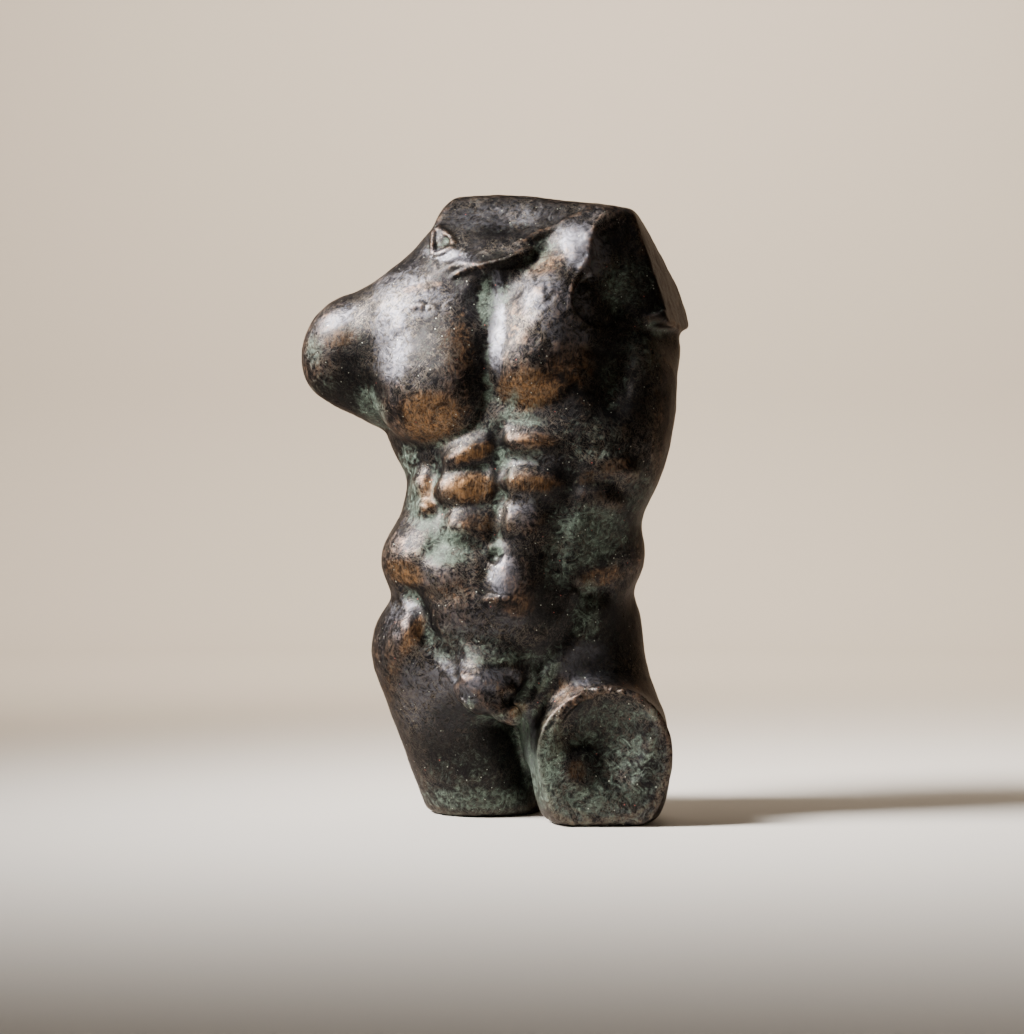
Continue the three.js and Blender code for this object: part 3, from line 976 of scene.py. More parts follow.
TOUCHES = {
    # painted shade: black on the places that lie in shade and in hollows, and over some highlights to
    # dim them
    PatinaAndPaintedLight.PAINTED_SHADE: (
        Touch((-34, 75), (48, 52), 1.0),
        Touch((110, 66), (52, 62), 0.8),
        Touch((99, 98), (46, 25), 0.5),
        Touch((62, 201), (34, 42), 1.0),
        Touch((92, 176), (54, 44), 0.9),
        Touch((-139, 409), (38, 24), 1.1),
        Touch((6, 529), (24, 9), 1.1),
        Touch((-5, 575), (70, 28), 0.6),
        Touch((155, 520), (16, 62), 1.2),
        Touch((130, 495), (33, 44), 0.7),
        Touch((5, 323), (8, 62), 1.0),
        Touch((6, 160), (46, 13), 0.6),
        Touch((118, 420), (36, 58), 0.8),
        Touch((-14, 22), (60, 26), 0.8),
        Touch((90, 300), (50, 40), 0.6),
        Touch((10, 185), (60, 26), 0.5),
        Touch((-57, 448), (22, 37), 0.95),
        Touch((-142, 452), (36, 24), 0.9),
        Touch((-80, 110), (44, 60), 0.5),
        Touch((-150, 468), (30, 13), 0.55),
        Touch((-62, 470), (20, 22), 0.5),
        Touch((-12, 54), (25, 18), 0.7),
    ),
    # high places that hands have rubbed back to the copper
    PatinaAndPaintedLight.RUBBED: (
        Touch((-60, 383), (34, 24), 1.0),
        Touch((-36, 449), (19, 32), 0.55),
        Touch((33, 407), (30, 20), 1.0),
        Touch((49, 526), (24, 12), 0.6, 35),
        Touch((24, 470), (13, 37), 0.35),
        Touch((70, 430), (24, 26), 0.6, 20),
        Touch((-150, 458), (20, 9), 0.7, 10),
        Touch((-20, 348), (22, 8), 0.95, 20),
        Touch((-23, 315), (28, 14), 1.0, 4),
        Touch((-19, 282), (20, 9), 0.6),
        Touch((38, 360), (24, 7), 0.8, -4),
        Touch((33, 320), (28, 8), 1.0, -3),
        Touch((30, 283), (15, 13), 0.35),
        Touch((-65, 314), (10, 14), 0.8),
        Touch((-62, 297), (8, 8), 0.7),
        Touch((110, 335), (21, 8), 0.55, 12),
        Touch((90, 325), (23, 8), 0.4, 12),
        Touch((-85, 236), (21, 12), 0.95, -20),
        Touch((-43, 220), (28, 15), 0.45),
        Touch((20, 208), (20, 13), 0.6),
        Touch((99, 232), (28, 10), 0.6, 14),
        Touch((-78, 175), (8, 21), 0.95, -30),
        Touch((-103, 121), (9, 58), 0.5, -18),
        Touch((-84, 172), (11, 9), 0.5),
        Touch((63, 126), (13, 17), 0.5),
        Touch((104, 128), (43, 5), 0.5),
        Touch((57, 78), (9, 22), 0.6),
        Touch((77, 52), (9, 13), 0.7),
        Touch((22, 108), (9, 7), 0.9),
        Touch((-51, 84), (9, 19), 0.3),
        Touch((153, 371), (8, 57), 0.35),
        Touch((-70, 505), (22, 5), 0.6, 10),
    ),
    # pale green bloom in the hollows and low down
    PatinaAndPaintedLight.VERDIGRIS: (
        Touch((-83, 340), (11, 19), 0.7),
        Touch((-77, 304), (8, 21), 0.8),
        Touch((-44, 260), (24, 19), 1.0),
        Touch((-61, 283), (17, 9), 0.8),
        Touch((2, 257), (7, 7), 1.0),
        Touch((90, 271), (39, 30), 0.75),
        Touch((61, 248), (19, 28), 0.6),
        Touch((139, 304), (17, 38), 0.45),
        Touch((26, 380), (22, 7), 0.7, -8),
        Touch((16, 395), (6, 13), 0.9, -20),
        Touch((-12, 374), (21, 8), 0.5),
        Touch((-7, 491), (9, 24), 0.9),
        Touch((85, 190), (14, 17), 0.8, 30),
        Touch((90, 210), (11, 21), 0.7),
        Touch((-13, 166), (58, 17), 0.35, -12),
        Touch((10, 157), (42, 7), 0.6),
        Touch((-51, 159), (13, 9), 0.5, -30),
        Touch((47, 144), (13, 24), 0.7, -20),
        Touch((-14, 18), (57, 13), 0.8),
        Touch((-24, 47), (48, 19), 0.3),
        Touch((30, 64), (10, 53), 1.0, 8),
        Touch((48, 56), (17, 47), 0.9, -10),
        Touch((80, 25), (46, 20), 0.65),
        Touch((119, 52), (43, 49), 0.5),
        Touch((117, 104), (37, 13), 0.5),
        Touch((151, 51), (11, 47), 0.4),
        Touch((-119, 393), (13, 23), 0.8, 30),
        Touch((-175, 449), (9, 18), 0.6),
        Touch((-168, 416), (16, 10), 0.45, 20),
        Touch((122, 508), (26, 24), 0.6),
        Touch((138, 446), (23, 28), 0.4),
        Touch((43, 535), (21, 9), 0.6, 30),
        Touch((24, 346), (28, 6), 0.55),
        Touch((13, 332), (6, 24), 0.45),
        Touch((90, 360), (38, 24), 0.4),
        Touch((-23, 113), (9, 9), 0.5),
        Touch((-4, 100), (20, 6), 0.7, 20),
    ),
    # painted highlight: cool grey on the places that catch the light
    PatinaAndPaintedLight.PAINTED_HIGHLIGHT: (
        Touch((-98, 454), (19, 44), 0.9),
        Touch((-70, 492), (28, 19), 0.8),
        Touch((2, 469), (8, 48), 1.2),
        Touch((47, 489), (24, 31), 0.8, 20),
        Touch((84, 538), (19, 30), 1.3, 35),
        Touch((-156, 478), (25, 10), 0.8, 25),
        Touch((-90, 506), (29, 21), 0.7),
        Touch((10, 232), (13, 19), 1.2),
        Touch((25, 293), (15, 17), 0.7),
        Touch((-85, 268), (19, 21), 0.25),
        Touch((-55, 234), (22, 13), 0.6),
        Touch((5, 346), (11, 19), 0.3),
        Touch((33, 341), (28, 6), 0.6),
        Touch((-41, 535), (28, 7), 0.9, -16),
        Touch((-89, 191), (17, 38), 0.5),
        Touch((85, 151), (28, 23), 1.0),
        Touch((-4, 137), (26, 10), 1.1, 10),
        Touch((31, 70), (8, 36), 1.2),
        Touch((-51, 116), (47, 47), 0.65),
        Touch((5, 575), (57, 15), 0.5),
        Touch((70, 466), (22, 38), 0.8, -10),
        Touch((38, 362), (24, 6), 0.6, -4),
        Touch((33, 323), (27, 6), 0.6, -3),
        Touch((-78, 174), (8, 19), 0.6, -30),
        Touch((-12, 192), (46, 18), 0.5),
    ),
}


def linear(code: str) -> tuple[float, float, float, float]:
    """Turns an sRGB hex colour to the linear one that shaders take.

    Args:
        code: Six hex digits after a hash.

    Returns:
        Linear red, green, blue and full alpha.
    """
    channels = [int(code[i : i + 2], 16) / 255 for i in (1, 3, 5)]
    bright = [((c + 0.055) / 1.055) ** 2.4 if c > 0.04045 else c / 12.92 for c in channels]
    return (*bright, 1.0)


# sockets of a colour Mix node, several of which share one name
SHARE, UNDER, OVER = 0, 6, 7
COLOUR_MIX = {"output": 2, "data_type": "RGBA"}


def per_mm(size: float) -> float:
    """Texture scale whose pattern is about a size in millimetres across."""
    return 1 / (size * MM)


def add_node(
    tree: Tree,
    kind: str,
    inputs: dict[Union[str, int], Any],
    output: Union[str, int] = 0,
    **settings: Any,
) -> Optional[Socket]:
    """Adds one shader node with its settings and links.

    Args:
        tree: Node tree of the material.
        kind: Blender's name of the node type.
        inputs: For each socket, by name or number, a value, a hex colour or the output linked to it.
        output: Name or number of the output that is wanted.
        **settings: Properties of the node itself.

    Returns:
        That output, or nothing where the node has none.
    """
    node = tree.nodes.new(kind)
    for name, value in settings.items():
        setattr(node, name, value)
    for name, value in inputs.items():
        if isinstance(value, Socket):
            tree.links.new(value, node.inputs[name])
        else:
            node.inputs[name].default_value = linear(value) if isinstance(value, str) else value
    return node.outputs[output] if node.outputs else None


@dataclass(frozen=True)
class Marks:
    """Layer of wiry marks: size of its cloud, width as a share of the cloud's range, turn in radians."""

    size_mm: float
    width: float
    turn: Triple = (0.0, 0.0, 0.0)
    stretch: float = 1.0


@dataclass(frozen=True)
class Speck:
    """Fleck of corrosion in the cells whose random number lies past start, and full at full."""

    colour: str
    start: float
    full: float


@dataclass(frozen=True)
class PatinatedBronze:
    """Lost-wax cast bronze with a dark liver-of-sulphur ground, rubbed and weathered.

    The eye gets a very dark metal with a painted cool grey highlight where light falls and painted black
    shade where it is shaded, copper where it is rubbed, dull pale green where verdigris grows, and fine
    wiry marks all over.
    """

    name: str = "patinated_cast_bronze"
    ground: str = "#151418"
    ground_warm: str = "#1d1b1d"
    # black of the painted shade
    painted_shade_black: str = "#0b0a0b"
    # cool grey of the painted highlight
    painted_highlight: str = "#595961"
    copper: str = "#7c5b3b"
    copper_dark: str = "#3f2f21"
    wire: str = "#8b7f70"
    verdigris: str = "#47554c"
    verdigris_dark: str = "#1c211f"
    verdigris_pale: str = "#7c8b7c"
    edge_tint: str = "#b4aca6"
    # sizes of drifts in the ground, blotches of patina, brushed swirls and rubbing streaks
    cloud_mm: float = 42.0
    mottle_mm: float = 9.0
    swirl_mm: float = 11.0
    streak_mm: float = 1.8
    streak_squeeze: float = 0.13
    # the real wires are 0.3 mm wide, and they are drawn twice as coarse, so that they show
    curls: Marks = Marks(6.5, 0.03)
    loose_wires: Marks = Marks(12.0, 0.02)
    scratches: tuple[Marks, ...] = (
        Marks(10.0, 0.022, (0.24, 0.6, 0.0), 3.0),
        Marks(10.0, 0.022, (-0.32, -0.8, 0.0), 3.0),
    )
    web_mm: float = 7.0
    web_wall: float = 0.16
    web_pull_mm: float = 8.0
    # cells of which some hold a speck, about half a millimetre across
    speck_mm: float = 5.0
    specks: tuple[Speck, ...] = (Speck("#c9cdbd", 0.72, 0.76), Speck("#c0685c", 0.16, 0.13))
    # how far blotches and swirls break up the edge of a finish, and what brings them back to zero
    mottle_pull: float = 1.5
    swirl_pull: float = 1.3
    pull_back: float = -1.35
    # share that a layer hides of what lies under it, as least and most where there are two numbers
    tone_cover: float = 0.5
    wire_cover: Span = (0.06, 0.42)
    # the painted shade hides at most this share
    painted_shade_cover: float = 0.9
    web_cover: float = 0.3
    curl_cover: Span = (0.1, 0.75)
    speck_cover: float = 0.65
    # bare metal first, full verdigris second
    metallic: Span = (0.9, 0.12)
    roughness: Span = (0.34, 0.6)
    roughness_swing: float = 0.25
    # wax that was buffed onto the warm bronze
    wax: float = 0.12
    wax_roughness: float = 0.42
    bump_mm: float = 0.5
    bump_strength: float = 0.6
    wire_height: float = 0.12
    crust_height: float = 0.3

    def make(self) -> bpy.types.Material:
        """Builds the node material.

        Returns:
            The material.
        """
        material = bpy.data.materials.new(self.name)
        material.use_nodes = True
        tree = material.node_tree
        tree.nodes.clear()
        place = add_node(tree, "ShaderNodeTexCoord", {}, "Object")
        cloud = add_node(
            tree,
            "ShaderNodeTexNoise",
            {"Vector": place, "Scale": per_mm(self.cloud_mm), "Detail": 3.0, "Distortion": 0.4},
        )
        swirl = add_node(
            tree,
            "ShaderNodeTexNoise",
            {
                "Vector": place,
                "Scale": per_mm(self.swirl_mm),
                "Detail": 3.5,
                "Roughness": 0.6,
                "Distortion": 2.4,
            },
        )
        tone = add_node(
            tree,
            "ShaderNodeMapRange",
            {"Value": swirl, "From Min": 0.3, "From Max": 0.7},
            interpolation_type="SMOOTHSTEP",
        )
        masks = self.masks(tree, place, swirl)
        green = masks[PatinaAndPaintedLight.VERDIGRIS]
        wires = self.hairlines(tree, place)
        web = self.web(tree, place, swirl)
        metal = self.metal_colour(tree, place, cloud, tone, masks, wires)
        bloom = self.bloom_colour(tree, tone, web)
        colour = add_node(tree, "ShaderNodeMix", {SHARE: green, UNDER: metal, OVER: bloom}, **COLOUR_MIX)
        colour = self.with_curls(tree, place, colour, green, tone)
        colour = self.with_specks(tree, place, colour)
        bare, crusted = self.metallic
        metallic = add_node(
            tree, "ShaderNodeMapRange", {"Value": green, "To Min": bare, "To Max": crusted}
        )
        bare, crusted = self.roughness
        dull = add_node(
            tree, "ShaderNodeMapRange", {"Value": green, "To Min": bare, "To Max": crusted}
        )
        rough = add_node(
            tree,
            "ShaderNodeMath",
            {0: swirl, 1: self.roughness_swing, 2: dull},
            operation="MULTIPLY_ADD",
        )
        shader = add_node(
            tree,
            "ShaderNodeBsdfPrincipled",
            {
                "Base Color": colour,
                "Metallic": metallic,
                "Roughness": rough,
                "Specular Tint": self.edge_tint,
                "Normal": self.bump(tree, swirl, wires, web, green),
                "Coat Weight": self.wax,
                "Coat Roughness": self.wax_roughness,
            },
            "BSDF",
        )
        add_node(tree, "ShaderNodeOutputMaterial", {"Surface": shader})
        return material

    def masks(self, tree: Tree, place: Socket, swirl: Socket) -> dict[PatinaAndPaintedLight, Socket]:
        """Finds where each finish, the painted shade and the painted highlight lie, from the mesh
        attribute with an edge that mottling breaks up.

        Args:
            tree: Node tree of the material.
            place: Object coordinates.
            swirl: Brushed swirls.

        Returns:
            The share of each finish.
        """
        mottle = add_node(
            tree,
            "ShaderNodeTexNoise",
            {
                "Vector": place,
                "Scale": per_mm(self.mottle_mm),
                "Detail": 4.0,
                "Roughness": 0.62,
                "Distortion": 0.3,
            },
        )
        ragged = add_node(
            tree,
            "ShaderNodeMath",
            {0: mottle, 1: self.mottle_pull, 2: self.pull_back},
            operation="MULTIPLY_ADD",
        )
        ragged = add_node(
            tree,
            "ShaderNodeMath",
            {0: swirl, 1: self.swirl_pull, 2: ragged},
            operation="MULTIPLY_ADD",
        )
        found = {}
        for patina in PatinaAndPaintedLight:
            amount = add_node(tree, "ShaderNodeAttribute", {}, "Fac", attribute_name=patina.value)
            broken = add_node(tree, "ShaderNodeMath", {0: amount, 1: ragged}, operation="ADD")
            found[patina] = add_node(
                tree,
                "ShaderNodeMapRange",
                {"Value": broken, "From Min": 0.25, "From Max": 1.35},
                interpolation_type="SMOOTHSTEP",
            )
        return found

    def metal_colour(
        self,
        tree: Tree,
        place: Socket,
        cloud: Socket,
        tone: Socket,
        masks: dict[PatinaAndPaintedLight, Socket],
        wires: Socket,
    ) -> Socket:
        """Colours the metal: dark clouded ground with a painted grey highlight, streaky copper, pale
        wires and painted black shade.

        Args:
            tree: Node tree of the material.
            place: Object coordinates.
            cloud: Broad drifts of the ground.
            tone: Light and dark of the swirls.
            masks: The share of each finish.
            wires: Wiry marks.

        Returns:
            The colour.
        """
        copper = {SHARE: self.streaks(tree, place), UNDER: self.copper_dark, OVER: self.copper}
        copper = add_node(tree, "ShaderNodeMix", copper, **COLOUR_MIX)
        colour = add_node(
            tree,
            "ShaderNodeMix",
            {SHARE: cloud, UNDER: self.ground, OVER: self.ground_warm},
            **COLOUR_MIX,
        )
        # the painted highlight goes on first, then the rubbed copper
        for share, layer in ((masks[PatinaAndPaintedLight.PAINTED_HIGHLIGHT], self.painted_highlight), (masks[PatinaAndPaintedLight.RUBBED], copper)):
            colour = add_node(
                tree, "ShaderNodeMix", {SHARE: share, UNDER: colour, OVER: layer}, **COLOUR_MIX
            )
        colour = add_node(
            tree,
            "ShaderNodeMix",
            {SHARE: self.tone_cover, UNDER: colour, OVER: tone},
            **COLOUR_MIX,
            blend_type="OVERLAY",
        )
        few, many = self.wire_cover
        some = add_node(
            tree,
            "ShaderNodeMapRange",
            {"Value": cloud, "From Min": 0.35, "From Max": 0.7, "To Min": few, "To Max": many},
        )
        shown = add_node(tree, "ShaderNodeMath", {0: wires, 1: some}, operation="MULTIPLY")
        # painted shade, which blackens the shaded places and dims some highlights
        painted_shade_share = add_node(
            tree,
            "ShaderNodeMath",
            {0: masks[PatinaAndPaintedLight.PAINTED_SHADE], 1: self.painted_shade_cover},
            operation="MULTIPLY",
        )
        for share, layer in ((shown, self.wire), (painted_shade_share, self.painted_shade_black)):
            colour = add_node(
                tree, "ShaderNodeMix", {SHARE: share, UNDER: colour, OVER: layer}, **COLOUR_MIX
            )
        return colour

    def bloom_colour(self, tree: Tree, tone: Socket, web: Socket) -> Socket:
        """Colours the verdigris: dull green with its paler web.

        Args:
            tree: Node tree of the material.
            tone: Light and dark of the swirls.
            web: Walls of the web's cells.

        Returns:
            The colour.
        """
        bloom = add_node(
            tree,
            "ShaderNodeMix",
            {SHARE: tone, UNDER: self.verdigris_dark, OVER: self.verdigris},
            **COLOUR_MIX,
        )
        share = add_node(tree, "ShaderNodeMath", {0: web, 1: self.web_cover}, operation="MULTIPLY")
        return add_node(
            tree,
            "ShaderNodeMix",
            {SHARE: share, UNDER: bloom, OVER: self.verdigris_pale},
            **COLOUR_MIX,
        )

    def with_curls(
        self, tree: Tree, place: Socket, colour: Socket, green: Socket, tone: Socket
    ) -> Socket:
        """Adds pale curled marks, dense on the verdigris and few elsewhere.

        Args:
            tree: Node tree of the material.
            place: Object coordinates.
            colour: Colour without them.
            green: Share of verdigris.
            tone: Light and dark of the swirls.

        Returns:
            The colour with them.
        """
        curls = self.wires(tree, place, self.curls)
        few, more = self.curl_cover
        dense = add_node(
            tree, "ShaderNodeMath", {0: green, 1: more, 2: few}, operation="MULTIPLY_ADD"
        )
        dense = add_node(tree, "ShaderNodeMath", {0: dense, 1: tone}, operation="MULTIPLY")
        shown = add_node(tree, "ShaderNodeMath", {0: curls, 1: dense}, operation="MULTIPLY")
        return add_node(
            tree,
            "ShaderNodeMix",
            {SHARE: shown, UNDER: colour, OVER: self.verdigris_pale},
            **COLOUR_MIX,
        )

    def hairlines(self, tree: Tree, place: Socket) -> Socket:
        """Draws loose wires and two crossing layers of longer scratches.

        Args:
            tree: Node tree of the material.
            place: Object coordinates.

        Returns:
            The marks, from 0 to 1.
        """
        lines = self.wires(tree, place, self.loose_wires)
        for marks in self.scratches:
            layer = self.wires(tree, place, marks)
            lines = add_node(tree, "ShaderNodeMath", {0: lines, 1: layer}, operation="MAXIMUM")
        return lines

    @staticmethod
    def wires(tree: Tree, place: Socket, marks: Marks) -> Socket:
        """Draws fine wiry marks as contour lines of a stirred and stretched cloud.

        Args:
            tree: Node tree of the material.
            place: Object coordinates.
            marks: Sizes of this layer.

        Returns:
            The marks, from 0 to 1.
        """
        laid = add_node(
            tree,
            "ShaderNodeMapping",
            {"Vector": place, "Rotation": marks.turn, "Scale": (1.0, 1.0, marks.stretch)},
            vector_type="TEXTURE",
        )
        stirred = add_node(
            tree,
            "ShaderNodeTexNoise",
            {
                "Vector": laid,
                "Scale": per_mm(marks.size_mm),
                "Detail": 2.0,
                "Roughness": 0.6,
                "Distortion": 1.6,
            },
        )
        away = add_node(tree, "ShaderNodeMath", {0: stirred, 1: 0.5}, operation="SUBTRACT")
        distance = add_node(tree, "ShaderNodeMath", {0: away}, operation="ABSOLUTE")
        return add_node(
            tree,
            "ShaderNodeMapRange",
            {"Value": distance, "From Max": marks.width, "To Min": 1.0, "To Max": 0.0},
        )

    def web(self, tree: Tree, place: Socket, swirl: Socket) -> Socket:
        """Draws the pale web of cells in the verdigris, whose walls the swirls pull about.

        Args:
            tree: Node tree of the material.
            place: Object coordinates.
            swirl: Brushed swirls.

        Returns:
            The walls, from 0 to 1.
        """
        pulled = add_node(
            tree,
            "ShaderNodeVectorMath",
            {0: swirl, 1: (self.web_pull_mm * MM,) * 3, 2: place},
            operation="MULTIPLY_ADD",
        )
        wall = add_node(
            tree,
            "ShaderNodeTexVoronoi",
            {"Vector": pulled, "Scale": per_mm(self.web_mm)},
            "Distance",
            feature="DISTANCE_TO_EDGE",
        )
        return add_node(
            tree,
            "ShaderNodeMapRange",
            {"Value": wall, "From Max": self.web_wall, "To Min": 1.0, "To Max": 0.0},
        )

    def with_specks(self, tree: Tree, place: Socket, colour: Socket) -> Socket:
        """Scatters specks: some cells have a pale one and a few a red one.

        Args:
            tree: Node tree of the material.
            place: Object coordinates.
            colour: Colour without them.

        Returns:
            The colour with them.
        """
        centre = add_node(
            tree,
            "ShaderNodeTexVoronoi",
            {"Vector": place, "Scale": per_mm(self.speck_mm)},
            "Distance",
        )
        dot = add_node(
            tree,
            "ShaderNodeMapRange",
            {
                "Value": centre,
                "From Min": 0.06,
                "From Max": 0.14,
                "To Min": self.speck_cover,
                "To Max": 0.0,
            },
        )
        lot = centre.node.outputs["Color"]
        for speck in self.specks:
            drawn = add_node(
                tree,
                "ShaderNodeMapRange",
                {"Value": lot, "From Min": speck.start, "From Max": speck.full},
            )
            shown = add_node(tree, "ShaderNodeMath", {0: dot, 1: drawn}, operation="MULTIPLY")
            colour = add_node(
                tree,
                "ShaderNodeMix",
                {SHARE: shown, UNDER: colour, OVER: speck.colour},
                **COLOUR_MIX,
            )
        return colour

    def streaks(self, tree: Tree, place: Socket) -> Socket:
        """Draws the short upright streaks that the rubbing left in the copper.

        Args:
            tree: Node tree of the material.
            place: Object coordinates.

        Returns:
            The streaks, from 0 to 1.
        """
        squeezed = add_node(
            tree,
            "ShaderNodeMapping",
            {"Vector": place, "Scale": (1.0, 1.0, self.streak_squeeze)},
        )
        strokes = add_node(
            tree,
            "ShaderNodeTexNoise",
            {
                "Vector": squeezed,
                "Scale": per_mm(self.streak_mm),
                "Detail": 2.0,
                "Roughness": 0.6,
                "Distortion": 0.6,
            },
        )
        return add_node(
            tree,
            "ShaderNodeMapRange",
            {"Value": strokes, "From Min": 0.28, "From Max": 0.72},
            interpolation_type="SMOOTHSTEP",
        )

    def bump(
        self, tree: Tree, swirl: Socket, wires: Socket, web: Socket, green: Socket
    ) -> Socket:
        """Raises the cast grain, the wires and the crusty verdigris as one bump.

        Args:
            tree: Node tree of the material.
            swirl: Brushed swirls.
            wires: Wiry marks.
            web: Walls of the web's cells.
            green: Share of verdigris.

        Returns:
            The bent normal.
        """
        lines = add_node(
            tree,
            "ShaderNodeMath",
            {0: wires, 1: self.wire_height, 2: swirl},
            operation="MULTIPLY_ADD",
        )
        crust = add_node(tree, "ShaderNodeMath", {0: web, 1: green}, operation="MULTIPLY")
        height = add_node(
            tree,
            "ShaderNodeMath",
            {0: crust, 1: self.crust_height, 2: lines},
            operation="MULTIPLY_ADD",
        )
        return add_node(
            tree,
            "ShaderNodeBump",
            {"Height": height, "Strength": self.bump_strength, "Distance": self.bump_mm * MM},
        )


@dataclass
class CastSkin:
    """The torso's cast skin: the CAD node's copy, remeshed finely and settled on the clay."""

    name: str = "torso_cast_skin"
    voxel_mm: float = 2.1
    triangles: int = 190_000
    # how the vertices are settled on the clay
    probe_mm: float = 0.4
    rounds: int = 3
    longest_move_mm: float = 4.0
    least_slope_squared: float = 0.25
    flat_band_mm: float = 0.6
    # width and height of the hand-pressed lumps, the grain and the scars of the breaks
    lump_mm: float = 15.0
    lump_height_mm: float = 0.55
    grain_mm: float = 4.5
    grain_height_mm: float = 0.16
    scar_mm: float = 8.0
    scar_height_mm: float = 1.1
    scar_band_mm: float = 3.0
    # smoothing rounds that tell fine relief from wide relief, and how far each round goes
    fine_rounds: int = 10
    wide_rounds: int = 150
    smoothing: float = 0.7
    # height up to which the damp ground turns the foot green
    foot_mm: float = 60.0
    finish: PatinatedBronze = field(default_factory=PatinatedBronze)

    def build(self, node: bpy.types.Object) -> bpy.types.Object:
        """Builds the skin.

        Args:
            node: The CAD node that the skin stands for.

        Returns:
            The finished piece.
        """
        piece = self.remeshed(node)
        breaks = Breaks()
        muscles = Muscles()
        body = breaks.cut(muscles.add_bosses(Figure(breaks).masses()))
        body = Relief(muscles.lines, muscles.hollows).carve(body)
        fine = FineRelief()
        clay = Relief(fine.strokes, fine.hollows).carve(body)
        self.settle(piece.data, clay, breaks)
        self.thin(piece)
        self.write_patina_and_painted_light(piece.data)
        piece.data.materials.clear()
        piece.data.materials.append(self.finish.make())
        return piece

    def remeshed(self, node: bpy.types.Object) -> bpy.types.Object:
        """Copies the node's mesh, merges it and remeshes it evenly.

        Args:
            node: The CAD node.

        Returns:
            The new piece.
        """
        mesh = bpy.data.meshes.new(self.name)
        work = bmesh.new()
        work.from_mesh(node.data)
        bmesh.ops.remove_doubles(work, verts=work.verts, dist=0.01 * MM)
        work.to_mesh(mesh)
        work.free()
        piece = bpy.data.objects.new(self.name, mesh)
        bpy.context.scene.collection.objects.link(piece)
        remesh = piece.modifiers.new("even skin", "REMESH")
        remesh.mode = "VOXEL"
        remesh.voxel_size = self.voxel_mm * MM
        self.apply(piece)
        return piece

    @staticmethod
    def apply(piece: bpy.types.Object) -> None:
        """Makes the result of a piece's modifiers its own mesh.

        Args:
            piece: The piece, which has no modifiers afterwards.
        """
        graph = bpy.context.evaluated_depsgraph_get()
        made = bpy.data.meshes.new_from_object(piece.evaluated_get(graph))
        old = piece.data
        piece.modifiers.clear()
        piece.data = made
        bpy.data.meshes.remove(old)

    def settle(self, mesh: bpy.types.Mesh, clay: Mass, breaks: Breaks) -> None:
        """Slides every vertex along the slope of the clay until it lies on the surface.

        Args:
            mesh: Evenly meshed skin near the surface.
            clay: The sculpted mass.
            breaks: Broken faces, which are rougher than the skin.
        """
        points = self.read(mesh)
        distance = clay.distance(points)
        slope = np.stack(
            [
                (clay.distance(points + step) - distance) / self.probe_mm
                for step in np.eye(3, dtype=np.float32) * self.probe_mm
            ],
            axis=1,
        )
        steep = np.maximum(np.einsum("ij,ij->i", slope, slope), self.least_slope_squared)
        for _ in range(self.rounds):
            move = np.clip(distance / steep, -self.longest_move_mm, self.longest_move_mm)
            points = points - move[:, None] * slope
            distance = clay.distance(points)
        normal = slope / np.sqrt(steep)[:, None]
        points += self.roughness(points, breaks)[:, None] * normal
        points[:, 2] = np.where(points[:, 2] < self.flat_band_mm, 0, points[:, 2])
        mesh.vertices.foreach_set("co", ((points + CENTRING) * MM).ravel())
        mesh.update()

    def roughness(self, points: Points, breaks: Breaks) -> Values:
        """Height of the hand-pressed lumps, the grain and the broken faces at each point.

        Args:
            points: Places on the surface.
            breaks: Broken faces.

        Returns:
            Heights in millimetres.
        """
        broken = np.zeros(len(points), np.float32)
        for face, share in breaks.faces():
            # full up to 0.6 of the band away from the face, and gone at 1.6
            away = np.abs(face.distance(points)) / self.scar_band_mm
            broken = np.maximum(broken, share * smooth_step(1.6 - away))
        lumps = self.noise_at(points, self.lump_mm)
        grain = self.noise_at(points, self.grain_mm)
        scars = self.noise_at(points, self.scar_mm)
        height = self.lump_height_mm * lumps + self.grain_height_mm * grain
        return height + self.scar_height_mm * scars * broken

    @staticmethod
    def noise_at(points: Points, size_mm: float) -> Values:
        """Smooth noise from -1 to 1 with lumps of a size in millimetres."""
        spots = (points / size_mm).tolist()
        return np.array([noise.noise(spot) for spot in spots], np.float32)

    @staticmethod
    def read(mesh: bpy.types.Mesh) -> Points:
        """Reads a mesh's vertices.

        Args:
            mesh: The mesh, in metres.

        Returns:
            Their places in the sculpting frame, in millimetres.
        """
        places = np.empty(len(mesh.vertices) * 3, np.float32)
        mesh.vertices.foreach_get("co", places)
        return places.reshape(-1, 3) / MM - CENTRING

    def thin(self, piece: bpy.types.Object) -> None:
        """Collapses the flattest edges until the piece keeps its share of triangles.

        Args:
            piece: The piece.
        """
        work = bmesh.new()
        work.from_mesh(piece.data)
        bmesh.ops.triangulate(work, faces=work.faces)
        count = len(work.faces)
        work.to_mesh(piece.data)
        work.free()
        thinning = piece.modifiers.new("thinning", "DECIMATE")
        thinning.ratio = min(1.0, self.triangles / count)
        self.apply(piece)
        piece.data.polygons.foreach_set("use_smooth", [True] * len(piece.data.polygons))

    def write_patina_and_painted_light(self, mesh: bpy.types.Mesh) -> None:
        """Stores how strongly each finish, the painted shade and the painted highlight lie on each
        vertex.

        Args:
            mesh: The finished mesh.
        """
        points = self.read(mesh)
        normals = np.empty(len(mesh.vertices) * 3, np.float32)
        mesh.vertex_normals.foreach_get("vector", normals)
        normals = normals.reshape(-1, 3)
        edges = np.empty(len(mesh.edges) * 2, np.int32)
        mesh.edges.foreach_get("vertices", edges)
        edges = edges.reshape(-1, 2)
        fine_rise, wide_rise = self.rises(points, normals, edges)
        # touches lie on the front and fade out where the surface turns to the back
        front = smooth_step(0.9 - normals[:, 1] * 1.6)
        lowness = smooth_step(1 - points[:, 2] / self.foot_mm)
        for patina, weathering in WEATHERING_AND_PAINTED_LIGHT.items():
            amount = weathering.amount(wide_rise, fine_rise, lowness)
            for touch in TOUCHES[patina]:
                amount = np.maximum(amount, touch.amount(points + CENTRING) * front)
            layer = mesh.attributes.new(patina.value, "FLOAT", "POINT")
            layer.data.foreach_set("value", amount.astype(np.float32))

